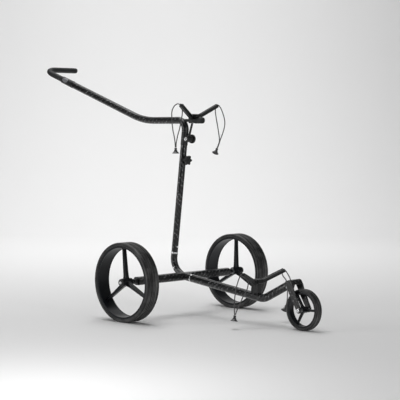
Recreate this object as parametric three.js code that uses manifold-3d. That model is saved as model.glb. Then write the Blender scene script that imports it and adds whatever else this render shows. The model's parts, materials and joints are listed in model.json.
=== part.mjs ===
// A folding three-wheel push cart with carbon tubes and two bag brackets.
// Millimetres. +X is the way it travels, +Y its left, +Z up.
// The design is laid out from a point on the ground under the middle of the rear axle, and the
// whole cart is then moved so that its origin lies on the ground under the middle of its box.
import * as THREE from 'three';
import { mergeVertices } from 'three/addons/utils/BufferGeometryUtils.js';
import Module from 'manifold-3d';

const wasm = await Module();
wasm.setup();

// ---- driving dimensions ----
const GAP = 0.3; // between two pieces that touch
const GRIP_X = -860; // middle of the cross grip
const GRIP_Z = 976.5;
const GRIP_RADIUS = 11.5;
const FRONT_WHEEL_X = 619;
const FRONT_WHEEL_RADIUS = 75;
const FRONT_WHEEL_WIDTH = 27;
const REAR_WHEEL_RADIUS = 150;
const REAR_WHEEL_WIDTH = 58;
const TRACK = 598; // between the middles of the rear wheels
const AXLE_Z = REAR_WHEEL_RADIUS;
const FRONT_AXLE_Z = FRONT_WHEEL_RADIUS;

const HANDLE_TUBE_RADIUS = 13.7;
const HANDLE_LEVEL_Z = 757; // height of the level stretch
const HANDLE_BEND_X = -227; // where the level and the rising stretches would cross
const HANDLE_BEND_RADIUS = 370;
const ELBOW_RADIUS = 36;
const GRIP_CORNER_RADIUS = 68;
const GRIP_END_Y = 178;
const COLLAR_START_X = -729;
const COLLAR_END_X = -660;
const COLLAR_RADIUS = 14.8;

const MAST_LEAN = THREE.MathUtils.degToRad(7.187); // forward from upright
const MAST_SEAT_X = -49.2; // middle of the mast's foot, on top of its silver ring
const MAST_SEAT_Z = 243.3;
const MAST_RADIUS = 12.8;
const MAST_BORE_RADIUS = 10.4;
const MAST_BORE_DEPTH = 56;
const HINGE_HEIGHT = 447.8; // of the parting plane, along the mast from its foot
const HINGE_REACH = 20.35; // of the hinge axis, in front of the mast's axis
const HINGE_SLEEVE_RADIUS = 13.9;
const HINGE_SLEEVE_LENGTH = 27;
const LUG_RADIUS = 12.5;
const MAST_KNOB_HEIGHT = 365.4;
const RELEASE_HEIGHT = 22; // of the release button, along the mast

const FRONT_TUBE_RADIUS = 15;
const FRONT_BORE_RADIUS = 12.4;
const FRONT_SLOPE = -0.1243; // of the straight stretch
const FRONT_RISE = 0.505; // of the raised stretch
const FRONT_SEAT_X = 50.5; // where the front tube's end meets its silver ring
const FRONT_SEAT_Z = 145.2;
const FRONT_BEND_X = 426;
const FRONT_BEND_RADIUS = 65;
const FRONT_TUBE_END_X = 542;

const AXLE_HALF_LENGTH = 247;
const AXLE_WIDTH = 34;
const AXLE_HEIGHT = 31;
const STUB_RADIUS = 9.5;
const PIN_RADIUS = 6;

const CORD_RADIUS = 2;
const CONE_HEIGHT = 22;
const CONE_GAP = 1.2;
const CONE_TOP_RADIUS = 5;
const CONE_BASE_RADIUS = 13.5;

const ROUND = 16; // sides of a tube
const REAR_WHEEL_SIDES = 48;
const FRONT_WHEEL_SIDES = 40;

// ---- materials ----
const material = (color, roughness, metalness) =>
  new THREE.MeshStandardMaterial({ color, roughness, metalness, flatShading: true });
const LOOKS = {
  carbon: () => material(0x17181a, 0.25, 0.1),
  satin: () => material(0x1c1d1f, 0.45, 0.0),
  rubber: () => material(0x232425, 0.8, 0.0),
  silver: () => material(0xc9cacc, 0.28, 1.0),
  steel: () => material(0x9b9da0, 0.35, 1.0),
  badge: () => material(0x8f9093, 0.4, 0.6),
  cord: () => material(0x3a3a3c, 0.85, 0.0),
};

// ---- geometry helpers ----
const point = (x, y, z) => new THREE.Vector3(x, y, z);
const bare = new Set(['normal', 'uv']);

// One closed mesh: shared vertices merged, slivers dropped, faces pointing out.
function closed(geometry) {
  for (const name of Object.keys(geometry.attributes)) {
    if (bare.has(name)) geometry.deleteAttribute(name);
  }
  const merged = mergeVertices(geometry, 1e-4);
  const index = merged.index.array;
  const places = merged.attributes.position;
  const corners = [point(0, 0, 0), point(0, 0, 0), point(0, 0, 0)];
  const kept = [];
  let volume = 0;
  for (let i = 0; i < index.length; i += 3) {
    const [a, b, c] = index.slice(i, i + 3);
    if (a === b || b === c || c === a) continue;
    kept.push(a, b, c);
    [a, b, c].forEach((vertex, k) => corners[k].fromBufferAttribute(places, vertex));
    volume += corners[0].dot(corners[1].clone().cross(corners[2]));
  }
  if (volume < 0) {
    for (let i = 0; i < kept.length; i += 3) {
      [kept[i], kept[i + 1]] = [kept[i + 1], kept[i]];
    }
  }
  merged.setIndex(kept);
  return merged;
}

function solid(geometry) {
  const mesh = closed(geometry);
  const vertProperties = new Float32Array(mesh.attributes.position.array);
  const triVerts = new Uint32Array(mesh.index.array);
  return new wasm.Manifold(new wasm.Mesh({ numProp: 3, vertProperties, triVerts }));
}

function geometryOf(manifold) {
  const mesh = manifold.getMesh();
  const geometry = new THREE.BufferGeometry();
  geometry.setAttribute('position', new THREE.BufferAttribute(mesh.vertProperties, 3));
  geometry.setIndex(new THREE.BufferAttribute(mesh.triVerts, 1));
  return geometry;
}

const union = (...geometries) => geometries.map(solid).reduce((sum, next) => sum.add(next));
const cut = (manifold, ...geometries) =>
  geometries.map(solid).reduce((rest, tool) => rest.subtract(tool), manifold);

// A straight round bar between two points.
function bar(from, to, radius, sides = ROUND, endRadius = radius) {
  const along = to.clone().sub(from);
  const geometry = new THREE.CylinderGeometry(endRadius, radius, along.length(), sides);
  const turn = new THREE.Quaternion().setFromUnitVectors(point(0, 1, 0), along.clone().normalize());
  geometry.applyQuaternion(turn);
  const middle = from.clone().lerp(to, 0.5);
  return geometry.translate(middle.x, middle.y, middle.z);
}

// A round bar across the cart, from y0 to y1 at (x, z).
const crossBar = (x, z, y0, y1, radius, sides = ROUND) =>
  bar(point(x, y0, z), point(x, y1, z), radius, sides);

function box(x0, x1, y0, y1, z0, z1) {
  const geometry = new THREE.BoxGeometry(x1 - x0, y1 - y0, z1 - z0);
  return geometry.translate((x0 + x1) / 2, (y0 + y1) / 2, (z0 + z1) / 2);
}

// A plate whose outline lies in the XZ plane, from y0 to y1.
function plate(outline, y0, y1) {
  const shape = new THREE.Shape(outline.map(([x, z]) => new THREE.Vector2(x, z)));
  const geometry = new THREE.ExtrudeGeometry(shape, { depth: y1 - y0, bevelEnabled: false });
  geometry.rotateX(Math.PI / 2);
  return geometry.translate(0, y1, 0);
}

// The points of an arc in the XZ plane; angles in degrees from +X towards +Z.
function arc(x, z, radius, from, to, count) {
  return Array.from({ length: count + 1 }, (_, i) => {
    const angle = THREE.MathUtils.degToRad(from + ((to - from) * i) / count);
    return [x + radius * Math.cos(angle), z + radius * Math.sin(angle)];
  });
}

function roundSection(radius, sides) {
  const turn = (Math.PI * 2) / sides;
  return new THREE.Shape(
    Array.from({ length: sides }, (_, i) =>
      new THREE.Vector2(radius * Math.cos(i * turn), radius * Math.sin(i * turn))),
  );
}

// A rounded rectangle as a section, with chamfer-like corners of three points each.
function softSection(width, height, corner) {
  const points = [];
  for (let quarter = 0; quarter < 4; quarter += 1) {
    const x = (width / 2 - corner) * (quarter === 0 || quarter === 3 ? 1 : -1);
    const y = (height / 2 - corner) * (quarter < 2 ? 1 : -1);
    for (let step = 0; step <= 2; step += 1) {
      const angle = ((quarter + step / 2) * Math.PI) / 2;
      points.push(new THREE.Vector2(x + corner * Math.cos(angle), y + corner * Math.sin(angle)));
    }
  }
  return new THREE.Shape(points);
}

// A bent centreline: straight runs joined by arcs. It steps only where it bends.
class BentPath extends THREE.Curve {
  constructor(corners, radii, stepsPerArc) {
    super();
    this.stations = [];
    const last = corners.length - 1;
    const heading = (i) => corners[i + 1].clone().sub(corners[i]).normalize();
    this.add(corners[0], heading(0));
    for (let i = 1; i < last; i += 1) {
      const before = heading(i - 1);
      const after = heading(i);
      const turn = before.angleTo(after);
      const inset = radii[i - 1] * Math.tan(turn / 2);
      const axis = before.clone().cross(after).normalize();
      const inward = axis.clone().cross(before);
      const start = corners[i].clone().addScaledVector(before, -inset);
      const centre = start.clone().addScaledVector(inward, radii[i - 1]);
      for (let step = 0; step <= stepsPerArc[i - 1]; step += 1) {
        const angle = (turn * step) / stepsPerArc[i - 1];
        const spoke = start.clone().sub(centre).applyAxisAngle(axis, angle);
        this.add(centre.clone().add(spoke), before.clone().applyAxisAngle(axis, angle));
      }
    }
    this.add(corners[last], heading(last - 1));
  }

  add(place, tangent) {
    this.stations.push({ place, tangent });
  }

  get steps() {
    return this.stations.length - 1;
  }

  station(u) {
    return this.stations[Math.round(u * this.steps)];
  }

  getPointAt(u, target = new THREE.Vector3()) {
    return target.copy(this.station(u).place);
  }

  getTangentAt(u, target = new THREE.Vector3()) {
    return target.copy(this.station(u).tangent);
  }
}

const along = (path, section, steps = path.steps) =>
  new THREE.ExtrudeGeometry(section, { steps, extrudePath: path, bevelEnabled: false });

// A ring or disc round the Y axis: the profile is pairs of radius and y.
function turned(profile, sides) {
  const points = profile.map(([radius, y]) => new THREE.Vector2(radius, y));
  return new THREE.LatheGeometry(points, sides);
}

const tubeProfile = (inner, outer, y0, y1) => [
  [inner, y0], [outer, y0], [outer, y1], [inner, y1], [inner, y0],
];

// ---- the scene graph ----
const cart = new THREE.Group();

function piece(parent, name, geometry, look) {
  const shape = geometry instanceof THREE.BufferGeometry ? closed(geometry) : geometryOf(geometry);
  const mesh = new THREE.Mesh(shape, LOOKS[look]());
  mesh.name = name;
  parent.add(mesh);
  return mesh;
}

// ---- the mast's own frame: Z along the mast from its foot, X forward ----
const mast = new THREE.Group();
mast.position.set(MAST_SEAT_X, 0, MAST_SEAT_Z);
mast.rotation.y = MAST_LEAN;
cart.add(mast);
mast.updateMatrixWorld(true);
const fromMast = (x, y, z) => mast.localToWorld(point(x, y, z));

// ---- handle ----
const slope = (GRIP_Z - HANDLE_LEVEL_Z) / (HANDLE_BEND_X - GRIP_X);
const onRise = (x) => point(x, 0, GRIP_Z - slope * (x - GRIP_X));
const fittingTop = fromMast(0, 0, HINGE_HEIGHT + HINGE_SLEEVE_LENGTH + GAP);
const elbowCorner = fittingTop.clone().addScaledVector(
  fromMast(0, 0, 1).sub(fromMast(0, 0, 0)),
  (HANDLE_LEVEL_Z - fittingTop.z) / Math.cos(MAST_LEAN),
);
const collarStep = GAP / Math.hypot(1, slope);
const handlePath = new BentPath(
  [onRise(COLLAR_END_X + collarStep), point(HANDLE_BEND_X, 0, HANDLE_LEVEL_Z), elbowCorner, fittingTop],
  [HANDLE_BEND_RADIUS, ELBOW_RADIUS],
  [4, 8],
);
piece(cart, 'handle_tube', along(handlePath, roundSection(HANDLE_TUBE_RADIUS, ROUND)), 'carbon');

const GRIP_CAP_LENGTH = 6;
const gripPath = new BentPath(
  [point(GRIP_X, GRIP_END_Y, GRIP_Z), point(GRIP_X, 0, GRIP_Z), onRise(COLLAR_START_X - collarStep)],
  [GRIP_CORNER_RADIUS],
  [8],
);
piece(cart, 'grip', along(gripPath, roundSection(GRIP_RADIUS, ROUND)), 'rubber');
piece(
  cart,
  'grip_end_cap',
  crossBar(GRIP_X, GRIP_Z, GRIP_END_Y + GAP, GRIP_END_Y + GRIP_CAP_LENGTH, GRIP_RADIUS - 1),
  'satin',
);
const collar = bar(onRise(COLLAR_START_X), onRise(COLLAR_END_X), COLLAR_RADIUS, 20);
piece(cart, 'grip_collar', collar, 'satin');

// The badge is a shallow oval let down on to the collar's right upper side.
const BADGE_LENGTH = 34;
const BADGE_WIDTH = 22;
const BADGE_TILT = THREE.MathUtils.degToRad(62); // from upright, towards the cart's right
const BADGE_BACK = 8; // behind the collar's middle
const BADGE_THICKNESS = 1.6;
const badgeMiddle = onRise((COLLAR_START_X + COLLAR_END_X) / 2 - BADGE_BACK);
const badgeBlank = new THREE.CylinderGeometry(BADGE_WIDTH / 2, BADGE_WIDTH / 2, 12, 20);
badgeBlank.scale(BADGE_LENGTH / BADGE_WIDTH, 1, 1);
badgeBlank.rotateX(Math.PI / 2);
badgeBlank.translate(0, 0, COLLAR_RADIUS - 2.5);
badgeBlank.rotateX(BADGE_TILT);
badgeBlank.rotateY(Math.atan(slope));
badgeBlank.translate(badgeMiddle.x, badgeMiddle.y, badgeMiddle.z);
const badgeShell = solid(
  bar(onRise(COLLAR_START_X), onRise(COLLAR_END_X), COLLAR_RADIUS + BADGE_THICKNESS, 32),
);
const badgeBed = bar(
  onRise(COLLAR_START_X - 5),
  onRise(COLLAR_END_X + 5),
  (COLLAR_RADIUS + GAP) / Math.cos(Math.PI / 20),
  20,
);
const BADGE_FLOOR = 2; // it stays this far to the right of the collar's middle
const FAR = 2000; // past the cart's ends
const badgeSide = box(-FAR, FAR, -FAR, -BADGE_FLOOR, -FAR, FAR);
const badgePlate = solid(badgeBlank).intersect(badgeShell).intersect(solid(badgeSide));
piece(cart, 'badge', cut(badgePlate, badgeBed), 'badge');

// ---- folding joint, in the mast's frame ----
const LUG_HALF = 6; // half the width of the middle lug
const CHEEK_GAP = 0.4;
const CHEEK_OUT = 12.5; // outside of the two outer lugs
const BOLT_RADIUS = 4;
const BOLT_HOLE = 4.4;
const POCKET = LUG_RADIUS + 0.8;
const hinge = new THREE.Group();
hinge.position.z = HINGE_HEIGHT;
mast.add(hinge);

const cheekIn = LUG_HALF + CHEEK_GAP;
const lug = (y0, y1, radius = LUG_RADIUS) => crossBar(HINGE_REACH, 0, y0, y1, radius, 24);
const upright = (radius, z0, z1, sides = ROUND) => bar(point(0, 0, z0), point(0, 0, z1), radius, sides);

const upperHalf = cut(
  union(
    upright(HINGE_SLEEVE_RADIUS, GAP / 2, HINGE_SLEEVE_LENGTH, 20),
    box(0, HINGE_REACH, -LUG_HALF, LUG_HALF, GAP / 2, LUG_RADIUS),
  ),
  lug(LUG_HALF, 20, POCKET),
  lug(-20, -LUG_HALF, POCKET),
)
  .add(solid(lug(-LUG_HALF, LUG_HALF)))
  .subtract(solid(lug(-20, 20, BOLT_HOLE)));
piece(hinge, 'handle_hinge_half', upperHalf, 'satin');

const cheekWeb = (side) =>
  box(
    0, HINGE_REACH,
    Math.min(side * cheekIn, side * CHEEK_OUT), Math.max(side * cheekIn, side * CHEEK_OUT),
    -LUG_RADIUS, -GAP / 2,
  );
const lowerHalf = cut(
  union(
    upright(HINGE_SLEEVE_RADIUS, -HINGE_SLEEVE_LENGTH, -GAP / 2, 20),
    cheekWeb(1),
    cheekWeb(-1),
    lug(cheekIn, CHEEK_OUT),
    lug(-CHEEK_OUT, -cheekIn),
  ),
  lug(-cheekIn, cheekIn, POCKET),
  lug(-20, 20, BOLT_HOLE),
);
piece(hinge, 'mast_hinge_half', lowerHalf, 'satin');

const BOLT_HEAD_RADIUS = 7.5;
const boltEnd = CHEEK_OUT + 9;
const bolt = union(
  crossBar(HINGE_REACH, 0, -CHEEK_OUT - 1, boltEnd, BOLT_RADIUS),
  crossBar(HINGE_REACH, 0, -CHEEK_OUT - 4, -CHEEK_OUT - GAP, BOLT_HEAD_RADIUS, 24),
);
piece(hinge, 'hinge_bolt', bolt, 'silver');

const HINGE_KNOB_RADIUS = 17.5;
const hingeKnob = cut(
  union(
    crossBar(HINGE_REACH, 0, CHEEK_OUT + 1, CHEEK_OUT + 3.5, 11, 24),
    crossBar(HINGE_REACH, 0, CHEEK_OUT + 3, CHEEK_OUT + 13, HINGE_KNOB_RADIUS, 28),
  ),
  crossBar(HINGE_REACH, 0, 0, boltEnd + 0.5, BOLT_HOLE + 0.1),
);
piece(hinge, 'hinge_knob', hingeKnob, 'satin');

// ---- mast ----
const mastTube = cut(
  union(upright(MAST_RADIUS, 0, HINGE_HEIGHT - HINGE_SLEEVE_LENGTH - GAP)),
  upright(MAST_BORE_RADIUS, -1, MAST_BORE_DEPTH),
  bar(point(0, 0, RELEASE_HEIGHT), point(20, 0, RELEASE_HEIGHT), 5, 12),
);
piece(mast, 'mast_tube', mastTube, 'carbon');

const BUTTON_RADIUS = 4.5;
const releaseButton = bar(
  point(6.8, 0, RELEASE_HEIGHT),
  point(MAST_RADIUS + 2.4, 0, RELEASE_HEIGHT),
  BUTTON_RADIUS,
  12,
);
piece(mast, 'release_button', releaseButton, 'silver');

// A boss on the mast's front takes the star knob's threaded stem.
const boss = cut(
  union(bar(point(9, 0, MAST_KNOB_HEIGHT), point(17, 0, MAST_KNOB_HEIGHT), 9)),
  upright(MAST_RADIUS + GAP, MAST_KNOB_HEIGHT - 30, MAST_KNOB_HEIGHT + 30),
  bar(point(0, 0, MAST_KNOB_HEIGHT), point(30, 0, MAST_KNOB_HEIGHT), 4.5, 12),
);
piece(mast, 'knob_boss', boss, 'satin');

const STAR_LOBES = 6;
const STAR_RADIUS = 16.6;
const STAR_WAVE = 3.2; // the lobes stand this far out and the hollows this far in
const STAR_NECK_X = 17.5; // in front of the mast's axis, as is the next
const STAR_X = 20.5;
const STAR_DEPTH = 13;
function starKnob() {
  const outline = Array.from({ length: STAR_LOBES * 6 }, (_, i) => {
    const angle = (i * Math.PI * 2) / (STAR_LOBES * 6);
    const radius = STAR_RADIUS + STAR_WAVE * Math.cos(STAR_LOBES * angle);
    return new THREE.Vector2(radius * Math.cos(angle), radius * Math.sin(angle));
  });
  const star = new THREE.ExtrudeGeometry(
    new THREE.Shape(outline),
    { depth: STAR_DEPTH, bevelEnabled: false },
  );
  star.rotateY(Math.PI / 2);
  star.translate(STAR_X, 0, MAST_KNOB_HEIGHT);
  const middle = (x0, x1, radius) =>
    bar(point(x0, 0, MAST_KNOB_HEIGHT), point(x1, 0, MAST_KNOB_HEIGHT), radius, 12);
  return union(
    star,
    middle(STAR_NECK_X, STAR_X + 0.5, 9),
    middle(MAST_RADIUS + 0.5, STAR_NECK_X + 0.5, 4),
  );
}
piece(mast, 'mast_knob', starKnob(), 'satin');

// The aluminium spigot has a flange that shows as a silver ring under the mast.
const RING_HEIGHT = 7;
const RING_RADIUS = 13;
const SPIGOT_LENGTH = 50;
const spigot = cut(
  union(
    upright(MAST_BORE_RADIUS - 0.4, -RING_HEIGHT, SPIGOT_LENGTH),
    upright(RING_RADIUS, -RING_HEIGHT, -GAP, 24),
    upright(8, -RING_HEIGHT - 12, -RING_HEIGHT + 1),
  ),
  box(4.2, 12, -12, 12, 1, SPIGOT_LENGTH + 1),
);
piece(mast, 'mast_spigot', spigot, 'silver');

// ---- rear frame: cross axle, elbow and front socket in one moulding ----
const elbowTop = fromMast(0, 0, -RING_HEIGHT - GAP);
const axleMiddle = point(0, 0, AXLE_Z);
const elbowPath = new BentPath([elbowTop, point(-57.5, 0, 186), axleMiddle], [60], [6]);
const axleBar = new THREE.ExtrudeGeometry(
  softSection(AXLE_WIDTH, AXLE_HEIGHT, 12),
  { depth: AXLE_HALF_LENGTH * 2, bevelEnabled: false },
);
axleBar.rotateX(Math.PI / 2);
axleBar.translate(0, AXLE_HALF_LENGTH, AXLE_Z);
const onFront = (x) => point(x, 0, FRONT_SEAT_Z + FRONT_SLOPE * (x - FRONT_SEAT_X));
const alongFront = (x, distance) => {
  const heading = point(1, 0, FRONT_SLOPE).normalize();
  return onFront(x).addScaledVector(heading, distance);
};
const SOCKET_END_X = FRONT_SEAT_X - 7.3;
const ELBOW_SCREW = [-40, 181]; // X and Z of its axis
const rearFrame = cut(
  union(
    axleBar,
    along(elbowPath, roundSection(RING_RADIUS, ROUND)),
    bar(onFront(0), onFront(SOCKET_END_X), FRONT_TUBE_RADIUS),
  ),
  bar(fromMast(0, 0, -RING_HEIGHT + 2), fromMast(0, 0, -RING_HEIGHT - 13), 8.4),
  bar(onFront(SOCKET_END_X - 13), onFront(SOCKET_END_X + 2), 9.4),
  crossBar(...ELBOW_SCREW, -20, -9, 3.4, 12),
);
piece(cart, 'rear_frame', rearFrame, 'carbon');

const elbowScrew = union(
  crossBar(...ELBOW_SCREW, -13.6, -9.5, 3, 12),
  crossBar(...ELBOW_SCREW, -16, -13.4, 4.6, 12),
);
piece(cart, 'elbow_screw', elbowScrew, 'silver');

const frontSpigot = union(
  bar(alongFront(SOCKET_END_X, -12), alongFront(SOCKET_END_X, 2), 9),
  bar(alongFront(SOCKET_END_X, GAP), alongFront(FRONT_SEAT_X, -GAP), FRONT_TUBE_RADIUS + 0.5, 24),
  bar(alongFront(SOCKET_END_X, 2), alongFront(FRONT_SEAT_X, 55), FRONT_BORE_RADIUS - 0.4),
);
piece(cart, 'front_spigot', frontSpigot, 'silver');

// ---- front section ----
const bend = onFront(FRONT_BEND_X);
const raised = (x) => point(x, 0, bend.z + FRONT_RISE * (x - FRONT_BEND_X));
const frontPath = new BentPath(
  [onFront(FRONT_SEAT_X), bend, raised(FRONT_TUBE_END_X)],
  [FRONT_BEND_RADIUS],
  [5],
);
const frontSection = (radius) => along(frontPath, roundSection(radius, ROUND));
const frontTube = cut(
  union(frontSection(FRONT_TUBE_RADIUS)),
  bar(alongFront(FRONT_SEAT_X, -2), alongFront(FRONT_SEAT_X, 62), FRONT_BORE_RADIUS),
);
piece(cart, 'front_tube', frontTube, 'carbon');

const TUBE_CLEARANCE = GAP + 0.2; // round the bent front tube
const POST_HALF = 9;
const RIB_HALF = 10.8;
const postOutline = [[366, 104], [402, 104], [404, 149.5], [372, 149.5]];
const postRibs = [
  [[366, 104], [372, 104], [378, 149.5], [372, 149.5]],
  [[382, 104], [387, 104], [391, 149.5], [386, 149.5]],
  [[396, 104], [402, 104], [404, 149.5], [398, 149.5]],
];
const lowerPost = cut(
  union(
    plate(postOutline, -POST_HALF, POST_HALF),
    ...postRibs.map((rib) => plate(rib, -RIB_HALF, RIB_HALF)),
  ),
  frontSection(FRONT_TUBE_RADIUS + TUBE_CLEARANCE),
);
piece(cart, 'lower_bracket_post', lowerPost, 'satin');

// ---- bag brackets: a block with two stubs, and an arm on each stub ----
const STUB_START = 12.5;
const STUB_END = 24; // how far out a stub reaches
const ARM_STEPS = 1;
// A nose is the end of an arm: its length, and how much thinner it is than the arm.
function bracket(name, blockGeometry, root, tip, width, height, nose, parent) {
  const heading = tip.clone().sub(root).normalize();
  const reach = (y) => root.clone().addScaledVector(heading, (y - root.y) / heading.y);
  const mirrored = (place) => point(place.x, -place.y, place.z);
  const stub = (side) => {
    const line = [reach(STUB_START), reach(STUB_END)].map((place) => (side > 0 ? place : mirrored(place)));
    return along(new THREE.LineCurve3(...line), softSection(width + 1.6, height + 1.6, 4), ARM_STEPS);
  };
  piece(parent, `${name}_bracket_block`, union(blockGeometry, stub(1), stub(-1)), 'satin');
  for (const [side, word] of [[-1, 'right'], [1, 'left']]) {
    const gapStep = heading.clone().multiplyScalar(GAP);
    const start = reach(STUB_END).add(gapStep);
    const shoulder = tip.clone().addScaledVector(heading, -nose.length);
    const place = (spot) => (side > 0 ? spot : mirrored(spot));
    const bodyLine = new THREE.LineCurve3(place(start), place(shoulder));
    const noseLine = new THREE.LineCurve3(place(shoulder.clone().sub(gapStep)), place(tip));
    const arm = union(
      along(bodyLine, softSection(width, height, 4), ARM_STEPS),
      along(noseLine, softSection(width - nose.step, height - nose.step, 3), ARM_STEPS),
    );
    piece(parent, `${name}_arm_${word}`, arm, 'satin');
  }
}

const BUMPER_Z = 756.5;
const BUMPER_RADIUS = 12;
const BUMPER_START_X = 64;
const BUMPER_END_X = 109;
const ROD_END_X = 40;
const STAY_TOP_Z = 746;
const upperBlockOutline = [
  [42, 746], [60, 746], [64, 750], [64, 769], [84, 769], [87, 772], [85, 781], [44, 781], [40, 777],
];
const upperBlock = plate(upperBlockOutline, -13, 13);
const roundNose = { length: 4.9, step: 5 };
bracket('upper', upperBlock, point(64, 27, 774), point(88.5, 101, 815.6), 14, 14, roundNose, cart);
const bumper = bar(
  point(BUMPER_START_X + GAP, 0, BUMPER_Z),
  point(BUMPER_END_X, 0, BUMPER_Z),
  BUMPER_RADIUS,
  20,
);
piece(cart, 'bumper', bumper, 'rubber');

const rod = cut(
  union(bar(point(0, 0, BUMPER_Z), point(ROD_END_X - GAP, 0, BUMPER_Z), 6, 12)),
  along(handlePath, roundSection(HANDLE_TUBE_RADIUS + 0.5, ROUND)),
);
piece(cart, 'bracket_rod', rod, 'satin');

const hingeAxis = fromMast(HINGE_REACH, 0, HINGE_HEIGHT);
const lugClearance = bar(
  hingeAxis.clone().add(point(0, -20, 0)),
  hingeAxis.clone().add(point(0, 20, 0)),
  LUG_RADIUS + 0.5,
  24,
);
const stay = cut(
  union(bar(point(50.4, 0, 750), point(30, 0, 690), 4.3, 12)),
  lugClearance,
  box(0, 100, -20, 20, STAY_TOP_Z - GAP, STAY_TOP_Z + 14),
);
piece(cart, 'bracket_stay', stay, 'satin');

const lowerBlockOutline = [
  [374, 151], [408, 151], [411, 156], [409, 167], [405, 169], [378, 169], [374, 165],
];
const lowerBlock = plate(lowerBlockOutline, -14, 14);
const squareNose = { length: 1.2, step: 2 };
bracket('lower', lowerBlock, point(397.5, 27, 162.4), point(422.5, 114, 196.5), 17, 13, squareNose, cart);

// ---- front fork ----
const FORK_OUT = 30;
const FORK_IN = 25;
const HUB_BOSS = 11.5;
const FORK_BOLT = [554, 153]; // X and Z of its axis
const legOutline = [
  [556, 176], [569, 180.5], [575, 182], [582, 178], [592, 161], [597, 145], [610, 121], [617, 104],
  ...arc(FRONT_WHEEL_X, FRONT_AXLE_Z, HUB_BOSS, 30, -175, 8),
  [591, 103], [577, 124], [567, 145], [556, 166],
];
const crownOutline = [
  [556, 166], [562, 161], [590, 165], [582, 178], [575, 182], [569, 180.5], [556, 176],
];
const neckOutline = [
  [546, 143], [557, 143], [562, 160], [568, 168], [563, 178], [546, 175], [541, 168],
];
const NECK_HALF = 17; // half the width of the neck that holds the front tube
const fork = cut(
  union(
    plate(legOutline, FORK_IN, FORK_OUT),
    plate(legOutline, -FORK_OUT, -FORK_IN),
    plate(crownOutline, -FORK_OUT, FORK_OUT),
    plate(neckOutline, -NECK_HALF, NECK_HALF),
  ),
  frontSection(FRONT_TUBE_RADIUS + TUBE_CLEARANCE),
  crossBar(FRONT_WHEEL_X, FRONT_AXLE_Z, -40, 40, 4.4, 16),
  crossBar(...FORK_BOLT, -40, 3.5 - NECK_HALF, 3.4, 12),
);
piece(cart, 'front_fork', fork, 'carbon');
const forkBolt = union(
  crossBar(...FORK_BOLT, -NECK_HALF - 1, 3.2 - NECK_HALF, 3, 12),
  crossBar(...FORK_BOLT, -NECK_HALF - 3.5, -NECK_HALF - GAP, 5, 12),
);
piece(cart, 'fork_bolt', forkBolt, 'steel');
const frontBolt = union(
  crossBar(FRONT_WHEEL_X, FRONT_AXLE_Z, -FORK_OUT - 2, FORK_OUT + 3.5, 4),
  crossBar(FRONT_WHEEL_X, FRONT_AXLE_Z, -FORK_OUT - 4.5, -FORK_OUT - GAP, 7),
  crossBar(FRONT_WHEEL_X, FRONT_AXLE_Z, FORK_OUT + GAP, FORK_OUT + 4.5, 6.5, 6),
);
piece(cart, 'front_axle_bolt', frontBolt, 'silver');

// ---- wheels: the wheel's own frame has its middle at the origin and Y along the axle ----
const SPOKES = 3;
function rim(size) {
  const { outer, inner, width, hub, hubHalf, bore, spokeFoot, spokeTip, spokeDepth, turn } = size;
  const ring = turned(tubeProfile(inner, outer, -width / 2, width / 2), size.sides);
  const parts = [ring, turned(tubeProfile(bore, hub, -hubHalf, hubHalf), 24)];
  for (let i = 0; i < SPOKES; i += 1) {
    const outline = [
      [(hub + bore) / 2, -spokeFoot], [inner + 2, -spokeTip],
      [inner + 2, spokeTip], [(hub + bore) / 2, spokeFoot],
    ];
    const spoke = plate(outline, -spokeDepth / 2, spokeDepth / 2);
    spoke.rotateY(-THREE.MathUtils.degToRad(turn + (360 / SPOKES) * i));
    parts.push(spoke);
  }
  return cut(union(...parts), crossBar(0, 0, -hubHalf - 5, hubHalf + 5, bore, 24));
}

function tyre(inner, outer, width, shoulder, sides) {
  const half = width / 2;
  return turned(
    [
      [inner, -half], [outer - shoulder, -half], [outer, shoulder - half],
      [outer, half - shoulder], [outer - shoulder, half], [inner, half], [inner, -half],
    ],
    sides,
  );
}

const REAR_SHOULDER = 2.5;
const FRONT_SHOULDER = 2.2;
const REAR_RIM = {
  outer: 137.6, inner: 130, width: REAR_WHEEL_WIDTH - 2, sides: REAR_WHEEL_SIDES,
  hub: 15, hubHalf: 23, bore: 11.4, spokeFoot: 8, spokeTip: 3.8, spokeDepth: 15,
};
const SPOKE_TURN = { right: 95.5, left: 90 }; // of the first spoke, from +X towards +Z
const RIM_CLEARANCE = 0.4;
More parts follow.
